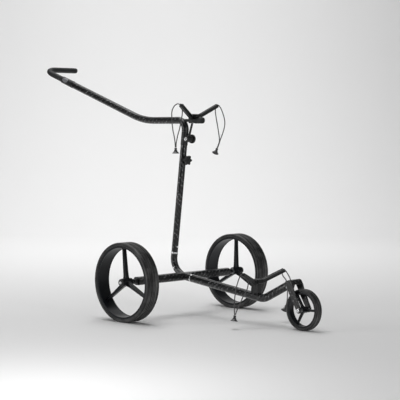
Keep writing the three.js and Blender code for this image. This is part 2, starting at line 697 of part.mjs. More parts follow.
// The rings of a hub: inner radius, outer radius, and their ends measured outwards along the axle.
const HUB_RINGS = {
  hub_bearing: { ring: [7.9, 11.05, -22, 21], look: 'steel' },
  hub_cap_ring: { ring: [6.3, 13.5, 23.3, 30], look: 'satin' },
  hub_sleeve: { ring: [6.4, 7.5, -30, 22], look: 'steel' },
};
const HUB_BUTTON_RADIUS = 5.8;
const HUB_BUTTON_ENDS = [21, 32];
const STUB_END_Y = TRACK / 2 - 30.5;
const PIN_END_Y = TRACK / 2 + 16;
for (const [side, word] of [[-1, 'right'], [1, 'left']]) {
  const wheel = new THREE.Group();
  wheel.position.set(0, (side * TRACK) / 2, AXLE_Z);
  cart.add(wheel);
  const ends = (near, far) => (side > 0 ? [near, far] : [-far, -near]);
  piece(wheel, `rear_rim_${word}`, rim({ ...REAR_RIM, turn: SPOKE_TURN[word] }), 'satin');
  const rearTyre = tyre(
    REAR_RIM.outer + RIM_CLEARANCE, REAR_WHEEL_RADIUS, REAR_WHEEL_WIDTH, REAR_SHOULDER, REAR_WHEEL_SIDES,
  );
  piece(wheel, `rear_tyre_${word}`, rearTyre, 'rubber');
  for (const [name, { ring: [inner, outer, near, far], look }] of Object.entries(HUB_RINGS)) {
    piece(wheel, `${name}_${word}`, turned(tubeProfile(inner, outer, ...ends(near, far)), 24), look);
  }
  const button = crossBar(0, 0, ...ends(...HUB_BUTTON_ENDS), HUB_BUTTON_RADIUS, 20);
  piece(wheel, `hub_button_${word}`, button, 'silver');
  const stubAxle = union(
    crossBar(0, AXLE_Z, ...ends(AXLE_HALF_LENGTH + GAP, STUB_END_Y), STUB_RADIUS, 20),
    crossBar(0, AXLE_Z, ...ends(STUB_END_Y - 1, PIN_END_Y), PIN_RADIUS, 16),
  );
  piece(cart, `axle_stub_${word}`, stubAxle, 'satin');
}

const frontWheel = new THREE.Group();
frontWheel.position.set(FRONT_WHEEL_X, 0, FRONT_AXLE_Z);
cart.add(frontWheel);
const FRONT_RIM = {
  outer: 65.6, inner: 58.7, width: FRONT_WHEEL_WIDTH - 2, sides: FRONT_WHEEL_SIDES,
  hub: 11.5, hubHalf: 14, bore: 8.4, spokeFoot: 5, spokeTip: 3.8, spokeDepth: 8, turn: 1,
};
piece(frontWheel, 'front_rim', rim(FRONT_RIM), 'satin');
const frontTyre = tyre(
  FRONT_RIM.outer + RIM_CLEARANCE, FRONT_WHEEL_RADIUS, FRONT_WHEEL_WIDTH, FRONT_SHOULDER, FRONT_WHEEL_SIDES,
);
piece(frontWheel, 'front_tyre', frontTyre, 'rubber');
const frontBearing = tubeProfile(4.5, 8.05, 1 - FORK_IN, FORK_IN - 1);
piece(frontWheel, 'front_bearing', turned(frontBearing, 24), 'steel');

// ---- elastic loops: two strands from a bracket arm into a cone-shaped toggle ----
// A loop's strands are routes from the arm down to the toggle's top.
const loops = {
  upper_right: {
    tip: [
      [89, -104, 816], [89, -115.5, 819], [89, -127, 815.5], [89, -136.5, 808.5],
      [89, -143.5, 799], [88, -146.5, 787.5], [88, -147, 775.5], [87, -146, 763.5],
      [86, -144.5, 751.5], [86, -143, 740], [86, -140.5, 728], [85, -137.5, 716.5],
      [85, -134, 704.5], [85, -130.8, 692], [85, -127.9, 679.5], [85, -126.4, 667],
      [85, -126.3, 654.5],
    ],
    root: [
      [84, -87, 797], [84, -87.5, 787.5], [84, -88.5, 778], [84, -90.5, 768.5],
      [84, -92, 759], [84, -94.5, 749.5], [84, -97.5, 740.5], [84, -100.5, 731.5],
      [84, -103.5, 722], [84, -107, 713], [84, -110.5, 704], [84, -114, 694.5],
      [84.5, -117, 684.5], [85, -120, 674.5], [85, -121.7, 664.5], [85, -121.7, 654.5],
    ],
  },
  upper_left: {
    tip: [
      [89, 104, 816], [89, 112, 809.5], [89, 119, 801], [89, 124.5, 791.5],
      [89, 129.5, 782], [89, 134, 772], [89, 137.5, 761.5], [89, 139.3, 750.5],
      [89, 139, 739.5], [89, 136.5, 728.5], [89, 132.5, 718], [89, 128, 707.5],
      [89, 123, 697.5], [89, 117.5, 687.5], [89, 112.5, 677.5], [89, 108, 668],
      [89, 103.5, 658.5], [89, 98.5, 649.5],
    ],
    root: [
      [84.5, 91, 800.5], [84.5, 91.5, 790], [84.5, 93, 780], [84.5, 95, 770.5],
      [84.5, 97, 761], [84.5, 99.5, 751.5], [84.5, 102, 742], [84.5, 104, 732.5],
      [84.5, 106.5, 723], [84.5, 108.5, 713.5], [84.5, 110.5, 704], [84.5, 112.5, 694.5],
      [84.5, 113.8, 685], [84.5, 113.5, 675.5], [84.5, 110.3, 666.5], [84.5, 105.5, 658],
      [84.5, 100.5, 649.5],
    ],
  },
  lower_right: {
    tip: [
      [423, -118, 197], [423, -126, 192], [423, -132, 183], [422.5, -136.5, 173],
      [422, -140.5, 163], [421.5, -144, 153], [421, -147, 143], [421, -149, 132.5],
      [420.5, -150.5, 122], [420, -151.5, 111], [420, -152.5, 100], [420, -153.3, 89],
      [420, -153.5, 78], [420, -153.5, 69], [420, -153, 60.5], [420, -152.5, 52],
    ],
    root: [
      [410, -69.5, 171], [410, -69.5, 161], [410.5, -71, 151.5], [411, -74.5, 142.5],
      [412, -80, 134.5], [413, -87, 127.5], [414, -94.5, 121], [415, -101.5, 114.5],
      [416, -108, 107], [417, -114.5, 99.5], [418, -120.5, 92], [419, -126.5, 84.5],
      [419.5, -132.5, 77], [420, -138.5, 69.5], [420, -143.8, 61], [420, -147.9, 52],
    ],
  },
  lower_left: {
    tip: [
      [423, 118, 197], [423, 125, 190.5], [423, 132, 183], [423, 138.5, 175],
      [423, 144.5, 167], [423, 149.5, 158], [423, 153.5, 148.5], [423, 156, 138.5],
      [423, 156.8, 128], [423, 156, 117.5], [423, 153.5, 107.5], [423, 150.5, 97.5],
      [423, 146.5, 88], [423, 141.5, 79], [423, 136, 70.5], [423, 129.5, 62.5],
    ],
    root: [
      [418.5, 108, 185.8], [418.5, 109.5, 179], [418.5, 114, 172.5], [418.5, 120, 167],
      [418.5, 126, 161.5], [418.5, 131, 155], [418.5, 134.5, 147], [418.5, 136.5, 137.5],
      [418.5, 137.5, 127.5], [418.5, 138, 117.5], [418.5, 138, 107.5], [418.5, 138, 97.5],
      [418.5, 137.5, 87.5], [418.5, 136.3, 78], [418.5, 133.8, 69.5], [418.5, 130.5, 62.5],
    ],
  },
};
const cordSection = roundSection(CORD_RADIUS, 8);
const CORD_STEP = 10;
const route = (points) => points.map(([x, y, z]) => point(x, y, z));
function strand(points) {
  const path = new THREE.CatmullRomCurve3(route(points), false, 'centripetal');
  return along(path, cordSection, Math.round(path.getLength() / CORD_STEP));
}
for (const [name, { tip, root }] of Object.entries(loops)) {
  piece(cart, `${name}_cord_tip`, strand(tip), 'cord');
  piece(cart, `${name}_cord_root`, strand(root), 'cord');
  const ends = [route(tip).slice(-2), route(root).slice(-2)];
  const top = ends[0][1].clone().lerp(ends[1][1], 0.5);
  const heading = ends.map(([before, last]) => last.clone().sub(before).normalize())
    .reduce((sum, next) => sum.add(next)).normalize();
  const start = top.clone().addScaledVector(heading, CONE_GAP);
  const end = start.clone().addScaledVector(heading, CONE_HEIGHT);
  piece(cart, `${name}_cone`, bar(start, end, CONE_TOP_RADIUS, 20, CONE_BASE_RADIUS), 'rubber');
}

// The origin moves to the middle of the box, between the grip's back and the front tyre's front.
const backOfGrip = GRIP_X - GRIP_RADIUS;
const frontOfTyre = FRONT_WHEEL_X + FRONT_WHEEL_RADIUS;
cart.position.x = -(backOfGrip + frontOfTyre) / 2;

export default cart;
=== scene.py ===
import json
import math
from types import SimpleNamespace

import bmesh
import bpy
import numpy as np
from mathutils import Matrix, Vector


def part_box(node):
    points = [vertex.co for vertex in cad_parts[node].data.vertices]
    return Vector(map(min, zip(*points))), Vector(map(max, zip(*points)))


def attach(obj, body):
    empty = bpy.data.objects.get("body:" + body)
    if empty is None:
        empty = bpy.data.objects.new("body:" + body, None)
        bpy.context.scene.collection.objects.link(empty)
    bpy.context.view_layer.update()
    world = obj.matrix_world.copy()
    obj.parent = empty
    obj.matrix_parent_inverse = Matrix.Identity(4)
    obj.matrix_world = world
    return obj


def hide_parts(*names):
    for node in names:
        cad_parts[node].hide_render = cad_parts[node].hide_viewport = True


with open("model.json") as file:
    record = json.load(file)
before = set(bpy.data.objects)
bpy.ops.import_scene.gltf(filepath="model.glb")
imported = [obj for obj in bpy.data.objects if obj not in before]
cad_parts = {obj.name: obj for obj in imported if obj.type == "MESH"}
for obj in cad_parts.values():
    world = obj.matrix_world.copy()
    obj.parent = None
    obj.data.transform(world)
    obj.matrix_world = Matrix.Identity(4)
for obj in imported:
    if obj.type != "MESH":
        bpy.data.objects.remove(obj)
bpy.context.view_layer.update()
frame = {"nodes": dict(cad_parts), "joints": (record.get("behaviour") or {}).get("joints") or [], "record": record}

JOINTS = {joint["name"]: joint for joint in frame["joints"]}
BODIES = frame["record"]["behaviour"]["bodies"]
BODY_OF = {node: body for body, nodes in BODIES.items() for node in nodes}
SLOT_OF = {part["node"]: part["material_slot"] for part in frame["record"]["subparts"]}

# ---- sizes in metres; places along the cart are measured from the rear axle ----
REAR_X = JOINTS["right_wheel_spin"]["pos_m"][0]
ALONG = Vector((1, 0, 0))
ACROSS = Vector((0, 1, 0))
UP = Vector((0, 0, 1))


def at(x, y, z):
    return Vector((REAR_X + x, y, z))


GRIP_X = -0.860
GRIP_Z = 0.9765
GRIP_RADIUS = 0.0115
GRIP_END_Y = 0.178
GRIP_CORNER_RADIUS = 0.068
GRIP_CAP_LENGTH = 0.006
COLLAR_START_X = -0.729
COLLAR_END_X = -0.660
COLLAR_RADIUS = 0.0148
HANDLE_TUBE_RADIUS = 0.0137
HANDLE_LEVEL_Z = 0.757
HANDLE_BEND_X = -0.227
HANDLE_BEND_RADIUS = 0.370
ELBOW_RADIUS = 0.036

MAST_UP = Vector(JOINTS["mast_unplug"]["axis"]).normalized()
MAST_FRONT = Vector((MAST_UP.z, 0, -MAST_UP.x))
HINGE = Vector(JOINTS["handle_fold"]["pos_m"])
HINGE_REACH = 0.02035
HINGE_HEIGHT = 0.4478
HINGE_SLEEVE_LENGTH = 0.027
MAST_FOOT = HINGE - MAST_FRONT * HINGE_REACH - MAST_UP * HINGE_HEIGHT
MAST_RADIUS = 0.0128
MAST_BORE_RADIUS = 0.0104
MAST_BORE_DEPTH = 0.056
MAST_KNOB_HEIGHT = 0.3654
RELEASE_HEIGHT = 0.022
RING_HEIGHT = 0.007
RING_RADIUS = 0.013

FRONT_DOWN = Vector(JOINTS["front_unplug"]["axis"]).normalized()
FRONT_SEAT = at(0.0505, 0, 0.1452)
FRONT_TUBE_RADIUS = 0.015
FRONT_BORE_RADIUS = 0.0124
FRONT_BORE_DEPTH = 0.062
FRONT_BEND_X = 0.426
FRONT_BEND_RADIUS = 0.065
FRONT_RISE = 0.505
FRONT_TUBE_END_X = 0.542
FRONT_WHEEL = Vector(JOINTS["front_wheel_spin"]["pos_m"])

AXLE_HALF_LENGTH = 0.247
AXLE_WIDTH = 0.034
AXLE_HEIGHT = 0.031
AXLE_Z = JOINTS["right_wheel_spin"]["pos_m"][2]
GAP = 0.0003

CORD_RADIUS = 0.002
CONE_HEIGHT = 0.022
CONE_GAP = 0.0012
CONE_TOP_RADIUS = 0.005
CONE_BASE_RADIUS = 0.0135


def in_metres(points):
    return [Vector([value / 1000 for value in point]) for point in points]


def in_plane(x, pairs):
    """Points that all lie at the same place along the cart."""
    return in_metres([(x, y, z) for y, z in pairs])


# Routes of the elastic strands in millimetres, from a bracket arm down to the toggle.
LOOPS = {
    "upper_right": {
        "tip": in_metres([
            (177.75, -104, 816), (177.75, -115.5, 819), (177.75, -127, 815.5), (177.75, -136.5, 808.5),
            (177.75, -143.5, 799), (176.75, -146.5, 787.5), (176.75, -147, 775.5), (175.75, -146, 763.5),
            (174.75, -144.5, 751.5), (174.75, -143, 740), (174.75, -140.5, 728), (173.75, -137.5, 716.5),
            (173.75, -134, 704.5), (173.75, -130.8, 692), (173.75, -127.9, 679.5), (173.75, -126.4, 667),
            (173.75, -126.3, 654.5),
        ]),
        "root": in_metres([
            (172.75, -87, 797), (172.75, -87.5, 787.5), (172.75, -88.5, 778), (172.75, -90.5, 768.5),
            (172.75, -92, 759), (172.75, -94.5, 749.5), (172.75, -97.5, 740.5), (172.75, -100.5, 731.5),
            (172.75, -103.5, 722), (172.75, -107, 713), (172.75, -110.5, 704), (172.75, -114, 694.5),
            (173.25, -117, 684.5), (173.75, -120, 674.5), (173.75, -121.7, 664.5), (173.75, -121.7, 654.5),
        ]),
    },
    "upper_left": {
        "tip": in_plane(177.75, [
            (104, 816), (112, 809.5), (119, 801), (124.5, 791.5), (129.5, 782), (134, 772), (137.5, 761.5),
            (139.3, 750.5), (139, 739.5), (136.5, 728.5), (132.5, 718), (128, 707.5), (123, 697.5),
            (117.5, 687.5), (112.5, 677.5), (108, 668), (103.5, 658.5), (98.5, 649.5),
        ]),
        "root": in_plane(173.25, [
            (91, 800.5), (91.5, 790), (93, 780), (95, 770.5), (97, 761), (99.5, 751.5), (102, 742),
            (104, 732.5), (106.5, 723), (108.5, 713.5), (110.5, 704), (112.5, 694.5), (113.8, 685),
            (113.5, 675.5), (110.3, 666.5), (105.5, 658), (100.5, 649.5),
        ]),
    },
    "lower_right": {
        "tip": in_metres([
            (511.75, -118, 197), (511.75, -126, 192), (511.75, -132, 183), (511.25, -136.5, 173),
            (510.75, -140.5, 163), (510.25, -144, 153), (509.75, -147, 143), (509.75, -149, 132.5),
            (509.25, -150.5, 122), (508.75, -151.5, 111), (508.75, -152.5, 100), (508.75, -153.3, 89),
            (508.75, -153.5, 78), (508.75, -153.5, 69), (508.75, -153, 60.5), (508.75, -152.5, 52),
        ]),
        "root": in_metres([
            (498.75, -69.5, 171), (498.75, -69.5, 161), (499.25, -71, 151.5), (499.75, -74.5, 142.5),
            (500.75, -80, 134.5), (501.75, -87, 127.5), (502.75, -94.5, 121), (503.75, -101.5, 114.5),
            (504.75, -108, 107), (505.75, -114.5, 99.5), (506.75, -120.5, 92), (507.75, -126.5, 84.5),
            (508.25, -132.5, 77), (508.75, -138.5, 69.5), (508.75, -143.8, 61), (508.75, -147.9, 52),
        ]),
    },
    "lower_left": {
        "tip": in_plane(511.75, [
            (118, 197), (125, 190.5), (132, 183), (138.5, 175), (144.5, 167), (149.5, 158), (153.5, 148.5),
            (156, 138.5), (156.8, 128), (156, 117.5), (153.5, 107.5), (150.5, 97.5), (146.5, 88),
            (141.5, 79), (136, 70.5), (129.5, 62.5),
        ]),
        "root": in_plane(507.25, [
            (108, 185.8), (109.5, 179), (114, 172.5), (120, 167), (126, 161.5), (131, 155), (134.5, 147),
            (136.5, 137.5), (137.5, 127.5), (138, 117.5), (138, 107.5), (138, 97.5), (137.5, 87.5),
            (136.3, 78), (133.8, 69.5), (130.5, 62.5),
        ]),
    },
}


# ---- materials ----
SURFACE = "Surface"  # the UV map of every piece, in metres


class Network:
    """A material's node tree with short calls for the nodes that it needs."""

    def __init__(self, name, **settings):
        self.material = bpy.data.materials.new(name)
        self.material.use_nodes = True
        self.tree = self.material.node_tree
        self.shader = self.tree.nodes["Principled BSDF"]
        for socket, value in settings.items():
            self.shader.inputs[socket.replace("_", " ")].default_value = value

    def node(self, kind, inputs=None, **settings):
        made = self.tree.nodes.new("ShaderNode" + kind)
        for key, value in settings.items():
            setattr(made, key, value)
        for key, value in (inputs or {}).items():
            self.feed(made.inputs[key], value)
        return made

    def feed(self, socket, value):
        if isinstance(value, bpy.types.NodeSocket):
            self.tree.links.new(value, socket)
        else:
            socket.default_value = value

    def math(self, operation, *values):
        inputs = dict(enumerate(values))
        return self.node("Math", inputs, operation=operation).outputs[0]

    def product(self, first, *others):
        for other in others:
            first = self.math("MULTIPLY", first, other)
        return first

    def surface(self):
        """The place on the piece's surface, in metres: round it, and along it."""
        uv = self.node("UVMap", uv_map=SURFACE).outputs[0]
        parts = self.node("SeparateXYZ", {0: uv})
        return parts.outputs[0], parts.outputs[1]

    def noise(self, scale, detail=3.0, stretch=None):
        """Noise from 0 to 1 in the piece's own space, or stretched over its surface."""
        if stretch is None:
            place = self.node("TexCoord").outputs["Object"]
        else:
            round_it, along_it = self.surface()
            parts = {0: self.product(round_it, stretch[0]), 1: self.product(along_it, stretch[1])}
            place = self.node("CombineXYZ", parts).outputs[0]
        texture = self.node("TexNoise", {"Vector": place, "Scale": scale, "Detail": detail})
        return texture.outputs[0]

    def ramp(self, value, low, high):
        """0 up to low, and 1 from high."""
        return self.node("MapRange", {"Value": value, "From Min": low, "From Max": high}).outputs[0]

    def between(self, factor, low, high):
        """low where factor is 0 and high where it is 1; numbers or colours."""
        if isinstance(low, tuple):
            mix = self.node("Mix", data_type="RGBA")
            self.feed(mix.inputs[0], factor)
            self.feed(mix.inputs[6], (*low, 1))
            self.feed(mix.inputs[7], (*high, 1))
            return mix.outputs[2]
        return self.node("MapRange", {"Value": factor, "To Min": low, "To Max": high}).outputs[0]

    def bump(self, height, distance, strength=1.0):
        inputs = {"Height": height, "Distance": distance, "Strength": strength}
        self.feed(self.shader.inputs["Normal"], self.node("Bump", inputs).outputs[0])

    def colour(self, factor, low, high):
        self.feed(self.shader.inputs["Base Color"], self.between(factor, low, high))

    def roughness(self, factor, low, high):
        self.feed(self.shader.inputs["Roughness"], self.between(factor, low, high))


TOW = 0.005  # width of one carbon tow


def carbon():
    """A two-by-two twill of flat tows under a thin clear coat, with painted sheen in the base colour on some
    lengthwise tows, strongest in painted lit patches.
    """
    net = Network("carbon", Coat_Weight=0.5, Coat_Roughness=0.08, Specular_IOR_Level=0.35)
    round_it, along_it = net.surface()
    columns = net.math("DIVIDE", round_it, TOW)
    rows = net.math("DIVIDE", along_it, TOW)
    column = net.math("FLOOR", columns)
    row = net.math("FLOOR", rows)
    step = net.math("FLOORED_MODULO", net.math("ADD", column, row), 4.0)
    lengthwise = net.math("LESS_THAN", step, 1.5)
    across_u = net.math("FRACT", columns)
    across_v = net.math("FRACT", rows)
    across = net.between(lengthwise, across_v, across_u)
    centred = net.math("SUBTRACT", across, 0.5)
    crown = net.math("SUBTRACT", 1.0, net.product(centred, centred, 4.0))
    fibres_long = net.noise(1.0, 2.0, stretch=(5200.0, 160.0))
    fibres_round = net.noise(1.0, 2.0, stretch=(160.0, 5200.0))
    fibres = net.between(lengthwise, fibres_round, fibres_long)
    cell = net.node("CombineXYZ", {0: column, 1: row}).outputs[0]
    shade = net.node("TexWhiteNoise", {"Vector": cell}).outputs[0]
    sheen_dashes = net.between(net.math("POWER", shade, 4.0), 0.07, 1.0)
    drift = net.noise(1.0, 2.0, stretch=(30.0, 22.0))
    painted_light_patches = net.ramp(drift, 0.4, 0.7)
    # Painted sheen: lengthwise tows that catch the light, in painted lit patches, lightest on each tow's crown,
    # put into the base colour.
    painted_sheen = net.product(
        lengthwise, sheen_dashes, net.between(painted_light_patches, 0.3, 1.0),
        net.between(fibres, 0.4, 1.2), net.between(crown, 0.4, 1.0),
    )
    net.colour(painted_sheen, (0.0025, 0.0027, 0.003), (0.42, 0.425, 0.44))
    net.roughness(fibres, 0.26, 0.42)
    height = net.math("ADD", crown, net.product(fibres, 0.25))
    net.bump(height, 0.00012, 0.6)
    return net.material


def moulded_black():
    """Satin black plastic with a fine spark-eroded grain and paler handled edges."""
    net = Network("moulded_black", Specular_IOR_Level=0.5)
    patches = net.noise(38.0, 4.0)
    edges = net.node("NewGeometry").outputs["Pointiness"]
    worn = net.product(net.ramp(edges, 0.52, 0.62), patches)
    net.colour(worn, (0.007, 0.0075, 0.008), (0.06, 0.062, 0.064))
    net.roughness(patches, 0.3, 0.46)
    net.bump(net.noise(1900.0, 2.0), 0.00006, 0.5)
    return net.material


def wheel_black():
    """Smoother satin black, as on moulded wheels, with faint flow marks."""
    net = Network("wheel_black", Specular_IOR_Level=0.3)
    marks = net.noise(14.0, 5.0)
    net.colour(marks, (0.003, 0.0035, 0.005), (0.010, 0.012, 0.016))
    net.roughness(marks, 0.26, 0.4)
    net.bump(net.noise(1500.0, 2.0), 0.00004, 0.4)
    return net.material


def tyre_rubber():
    """Dark rubber with fine lines, painted highlight streaks that run round the tyre, and a little real dust."""
    net = Network("tyre", Specular_IOR_Level=0.4)
    lines = net.noise(1.0, 3.0, stretch=(9.0, 1500.0))
    streaks = net.noise(1.0, 3.0, stretch=(5.0, 240.0))
    sheen_streaks = net.ramp(streaks, 0.5, 0.72)
    dust = net.noise(26.0, 6.0)
    dusty = net.ramp(dust, 0.45, 0.8)
    # Paler colour from two causes: real dust, and painted highlight streaks round the tyre.
    pale = net.math("ADD", net.product(dusty, 0.35), net.product(sheen_streaks, 0.65))
    net.colour(pale, (0.006, 0.006, 0.0065), (0.2, 0.2, 0.198))
    net.roughness(lines, 0.3, 0.55)
    height = net.math("ADD", lines, net.product(net.noise(900.0), 0.6))
    net.bump(height, 0.00012, 0.6)
    return net.material


def rubber():
    """Soft matt rubber with a pebbled skin."""
    net = Network("rubber", Specular_IOR_Level=0.4)
    place = net.node("TexCoord").outputs["Object"]
    pebbles = net.node("TexVoronoi", {"Vector": place, "Scale": 850.0}, feature="SMOOTH_F1").outputs[0]
    patches = net.noise(60.0, 4.0)
    net.colour(patches, (0.009, 0.010, 0.010), (0.024, 0.026, 0.026))
    net.roughness(patches, 0.42, 0.6)
    net.bump(pebbles, 0.00015, 0.5)
    return net.material


def metal(name, dark, pale, rough, brushing, metallic=1.0):
    """Turned metal: fine lines round the axis, in its colour, gloss and height."""
    net = Network(name, Metallic=metallic, Anisotropic=0.4)
    lines = net.noise(1.0, 2.0, stretch=brushing)
    cloud = net.noise(120.0, 3.0)
    net.colour(net.product(lines, cloud), dark, pale)
    net.roughness(lines, rough - 0.07, rough + 0.09)
    net.bump(lines, 0.00003, 0.4)
    return net.material


BRAID = 0.0031  # spacing of the braid's strands along the cord


def elastic_cord():
    """A braided sleeve: two sets of yarns that cross as they wind round."""
    net = Network("elastic_cord", Specular_IOR_Level=0.3, Sheen_Weight=0.3, Sheen_Roughness=0.4)
    round_it, along_it = net.surface()
    girth = 2 * math.pi * CORD_RADIUS
    turns = net.product(round_it, 4.0 / girth)
    strands = net.math("DIVIDE", along_it, BRAID)
    one_way = net.math("PINGPONG", net.math("ADD", turns, strands), 0.5)
    other_way = net.math("PINGPONG", net.math("SUBTRACT", turns, strands), 0.5)
    weave = net.product(net.math("MAXIMUM", one_way, other_way), 2.0)
    net.colour(weave, (0.02, 0.02, 0.021), (0.115, 0.112, 0.115))
    net.roughness(weave, 0.85, 0.6)
    net.bump(weave, 0.0004, 0.9)
    return net.material


def cone_black():
    """Glossy black plastic with faint lines round it."""
    net = Network("cone_black", Specular_IOR_Level=0.6, Coat_Weight=0.4, Coat_Roughness=0.08)
    lines = net.noise(1.0, 2.0, stretch=(60.0, 2600.0))
    net.colour(lines, (0.012, 0.012, 0.014), (0.034, 0.034, 0.037))
    net.roughness(lines, 0.2, 0.34)
    net.bump(lines, 0.00004, 0.4)
    return net.material


MATERIALS = {
    "carbon": carbon(),
    "moulded_black": moulded_black(),
    "wheel_black": wheel_black(),
    "tyre": tyre_rubber(),
    "rubber": rubber(),
    "silver": metal("silver", (0.66, 0.67, 0.68), (0.93, 0.93, 0.94), 0.24, (40.0, 3800.0)),
    "steel": metal("steel", (0.3, 0.31, 0.32), (0.56, 0.57, 0.58), 0.34, (60.0, 3000.0)),
    "black_steel": metal("black_steel", (0.01, 0.01, 0.011), (0.03, 0.03, 0.032), 0.3, (60.0, 3000.0), 0.3),
    "badge_metal": metal("badge_metal", (0.18, 0.18, 0.19), (0.42, 0.43, 0.45), 0.42, (2600.0, 50.0), 0.6),
    "elastic_cord": elastic_cord(),
    "cone_black": cone_black(),
}


# ---- mesh helpers ----
def link(name, data):
    made = bpy.data.objects.new(name, data)
    bpy.context.scene.collection.objects.link(made)
    return made


def finish_mesh(made, sharp=38):
    """Merges doubled points, points every face outwards, and shades the piece smooth."""
    work = bmesh.new()
    work.from_mesh(made.data)
    bmesh.ops.remove_doubles(work, verts=work.verts, dist=1e-6)
    bmesh.ops.recalc_face_normals(work, faces=work.faces)
    if work.calc_volume(signed=True) < 0:
        bmesh.ops.reverse_faces(work, faces=work.faces)
    work.to_mesh(made.data)
    work.free()
    made.data.shade_smooth()
    made.data.set_sharp_from_angle(angle=math.radians(sharp))
    return made


def skin(name, rings, around, lengths, joined=False):
    """A mesh over rings of points. around and lengths are the surface distances of each corner."""
    count = len(rings[0])
    points = [point for ring in rings for point in ring]
    faces, corners = [], []
    spans = len(rings) if joined else len(rings) - 1
    for i in range(spans):
        after = (i + 1) % len(rings)
        for j in range(count):
            beside = (j + 1) % count
            faces.append((i * count + j, i * count + beside, after * count + beside, after * count + j))
            low, high = lengths[i], lengths[i + 1]
            corners += [(around[j], low), (around[j + 1], low), (around[j + 1], high), (around[j], high)]
    if not joined:
        for i in (0, len(rings) - 1):
            faces.append(tuple(i * count + j for j in range(count)))
            corners += [(around[j], lengths[i]) for j in range(count)]
    mesh = bpy.data.meshes.new(name)
    mesh.from_pydata(points, [], faces)
    layer = mesh.uv_layers.new(name=SURFACE)
    layer.data.foreach_set("uv", np.array(corners, np.float32).ravel())
    return finish_mesh(link(name, mesh))


def distances(points):
    total = [0.0]
    for before, after in zip(points, points[1:]):
        total.append(total[-1] + (after - before).length)
    return total


def softened(points, reach, steps=5, closed=True):
    """An outline with its corners rounded. A point may hold its own reach as a third number."""
    result = []
    for i, corner in enumerate(points):
        here = Vector(corner[:2])
        if not closed and i in (0, len(points) - 1):
            result.append(here)
            continue
        before = Vector(points[i - 1][:2]) - here
        after = Vector(points[(i + 1) % len(points)][:2]) - here
        own = corner[2] if len(corner) > 2 else reach
        inset = min(own, before.length * 0.48, after.length * 0.48)
        if inset < 1e-6:
            result.append(here)
            continue
        start = here + before.normalized() * inset
        end = here + after.normalized() * inset
        for step in range(steps + 1):
            t = step / steps
            result.append(start * (1 - t) ** 2 + here * (2 * t * (1 - t)) + end * t ** 2)
    return result


def angles(sides):
    return [2 * math.pi * i / sides for i in range(sides)]


def turned(name, centre, axis, profile, reach=0.0008, ring=False, sides=96, shape=None, steps=5):
    """A lathe piece. The profile's pairs are a radius and a height along the axis from centre.
    A ring's profile closes on itself. shape(angle, radius, height) gives a radius that isn't round."""
    axis = axis.normalized()
    side = (UP if abs(axis.z) < 0.9 else ALONG).cross(axis).normalized()
    front = axis.cross(side)
    outline = softened(profile, reach, steps, closed=ring)
    rings = []
    for radius, height in outline:
        row = []
        for angle in angles(sides):
            wide = shape(angle, radius, height) if shape else radius
            spoke = side * math.cos(angle) + front * math.sin(angle)
            row.append(centre + spoke * wide + axis * height)
        rings.append(row)
    widest = max(radius for radius, _ in outline)
    around = [2 * math.pi * widest * j / sides for j in range(sides + 1)]
    lengths = distances(outline + [outline[0]])
    return skin(name, rings, around, lengths, joined=ring)


def round_section(radius, sides=64):
    return [Vector((radius * math.cos(turn), radius * math.sin(turn))) for turn in angles(sides)]


def swept(name, path, section, side=ACROSS, scales=None):
    """A section carried along a line of points. side is the section's first direction at the start."""
    lengths = distances(path)
    ahead = [(after - before).normalized() for before, after in zip(path, path[1:])]
    tangents = [ahead[0]] + [(a + b).normalized() for a, b in zip(ahead, ahead[1:])] + [ahead[-1]]
    first = (side - tangents[0] * side.dot(tangents[0])).normalized()
    rings = []
    for i, (place, tangent) in enumerate(zip(path, tangents)):
        first = (first - tangent * first.dot(tangent)).normalized()
        second = tangent.cross(first)
        wide, high = scales[i] if scales else (1, 1)
        rings.append([place + first * (p.x * wide) + second * (p.y * high) for p in section])
    around = distances([*section, section[0]])
    return skin(name, rings, around, lengths)


def bent(corners, radii, step=math.radians(2.5)):
    """Points along straight runs joined by arcs."""
    path = [corners[0]]
    for before, corner, after, radius in zip(corners, corners[1:], corners[2:], radii):
        come = (corner - before).normalized()
        go = (after - corner).normalized()
        turn = come.angle(go)
        axis = come.cross(go).normalized()
        start = corner - come * (radius * math.tan(turn / 2))
        centre = start + axis.cross(come) * radius
        count = max(2, round(turn / step))
        for i in range(count + 1):
            path.append(centre + Matrix.Rotation(turn * i / count, 3, axis) @ (start - centre))
    path.append(corners[-1])
    return path


def eased(path, inset, radius, steps=4):
    """A path with stations added at both ends, and their scales, so that the ends are rounded."""
    turns = [math.pi / 2 * step / steps for step in range(steps)]
    scales = [1 - inset / radius * (1 - math.sin(turn)) for turn in turns]
    stations = [inset * (1 - math.cos(turn)) for turn in turns] + [inset]
    first = (path[1] - path[0]).normalized()
    last = (path[-1] - path[-2]).normalized()
    start = [path[0] + first * station for station in stations]
    end = [path[-1] - last * station for station in reversed(stations)]
    sizes = [*scales, *[1] * len(path), *reversed(scales)]
    return [*start, *path[1:-1], *end], [(size, size) for size in sizes]


def apply(made):
    """Replaces the object's mesh by what its modifiers make of it."""
    graph = bpy.context.evaluated_depsgraph_get()
    mesh = bpy.data.meshes.new_from_object(made.evaluated_get(graph))
    made.modifiers.clear()
    made.data = mesh


def combine(made, tool, operation):
    modifier = made.modifiers.new(operation, "BOOLEAN")
    modifier.operation = operation
    modifier.solver = "EXACT"
    modifier.object = tool
    apply(made)
    bpy.data.objects.remove(tool)
    return finish_mesh(made)


def values(collection, attribute, kind, width=1):
    found = np.zeros(len(collection) * width, kind)
    collection.foreach_get(attribute, found)
    return found


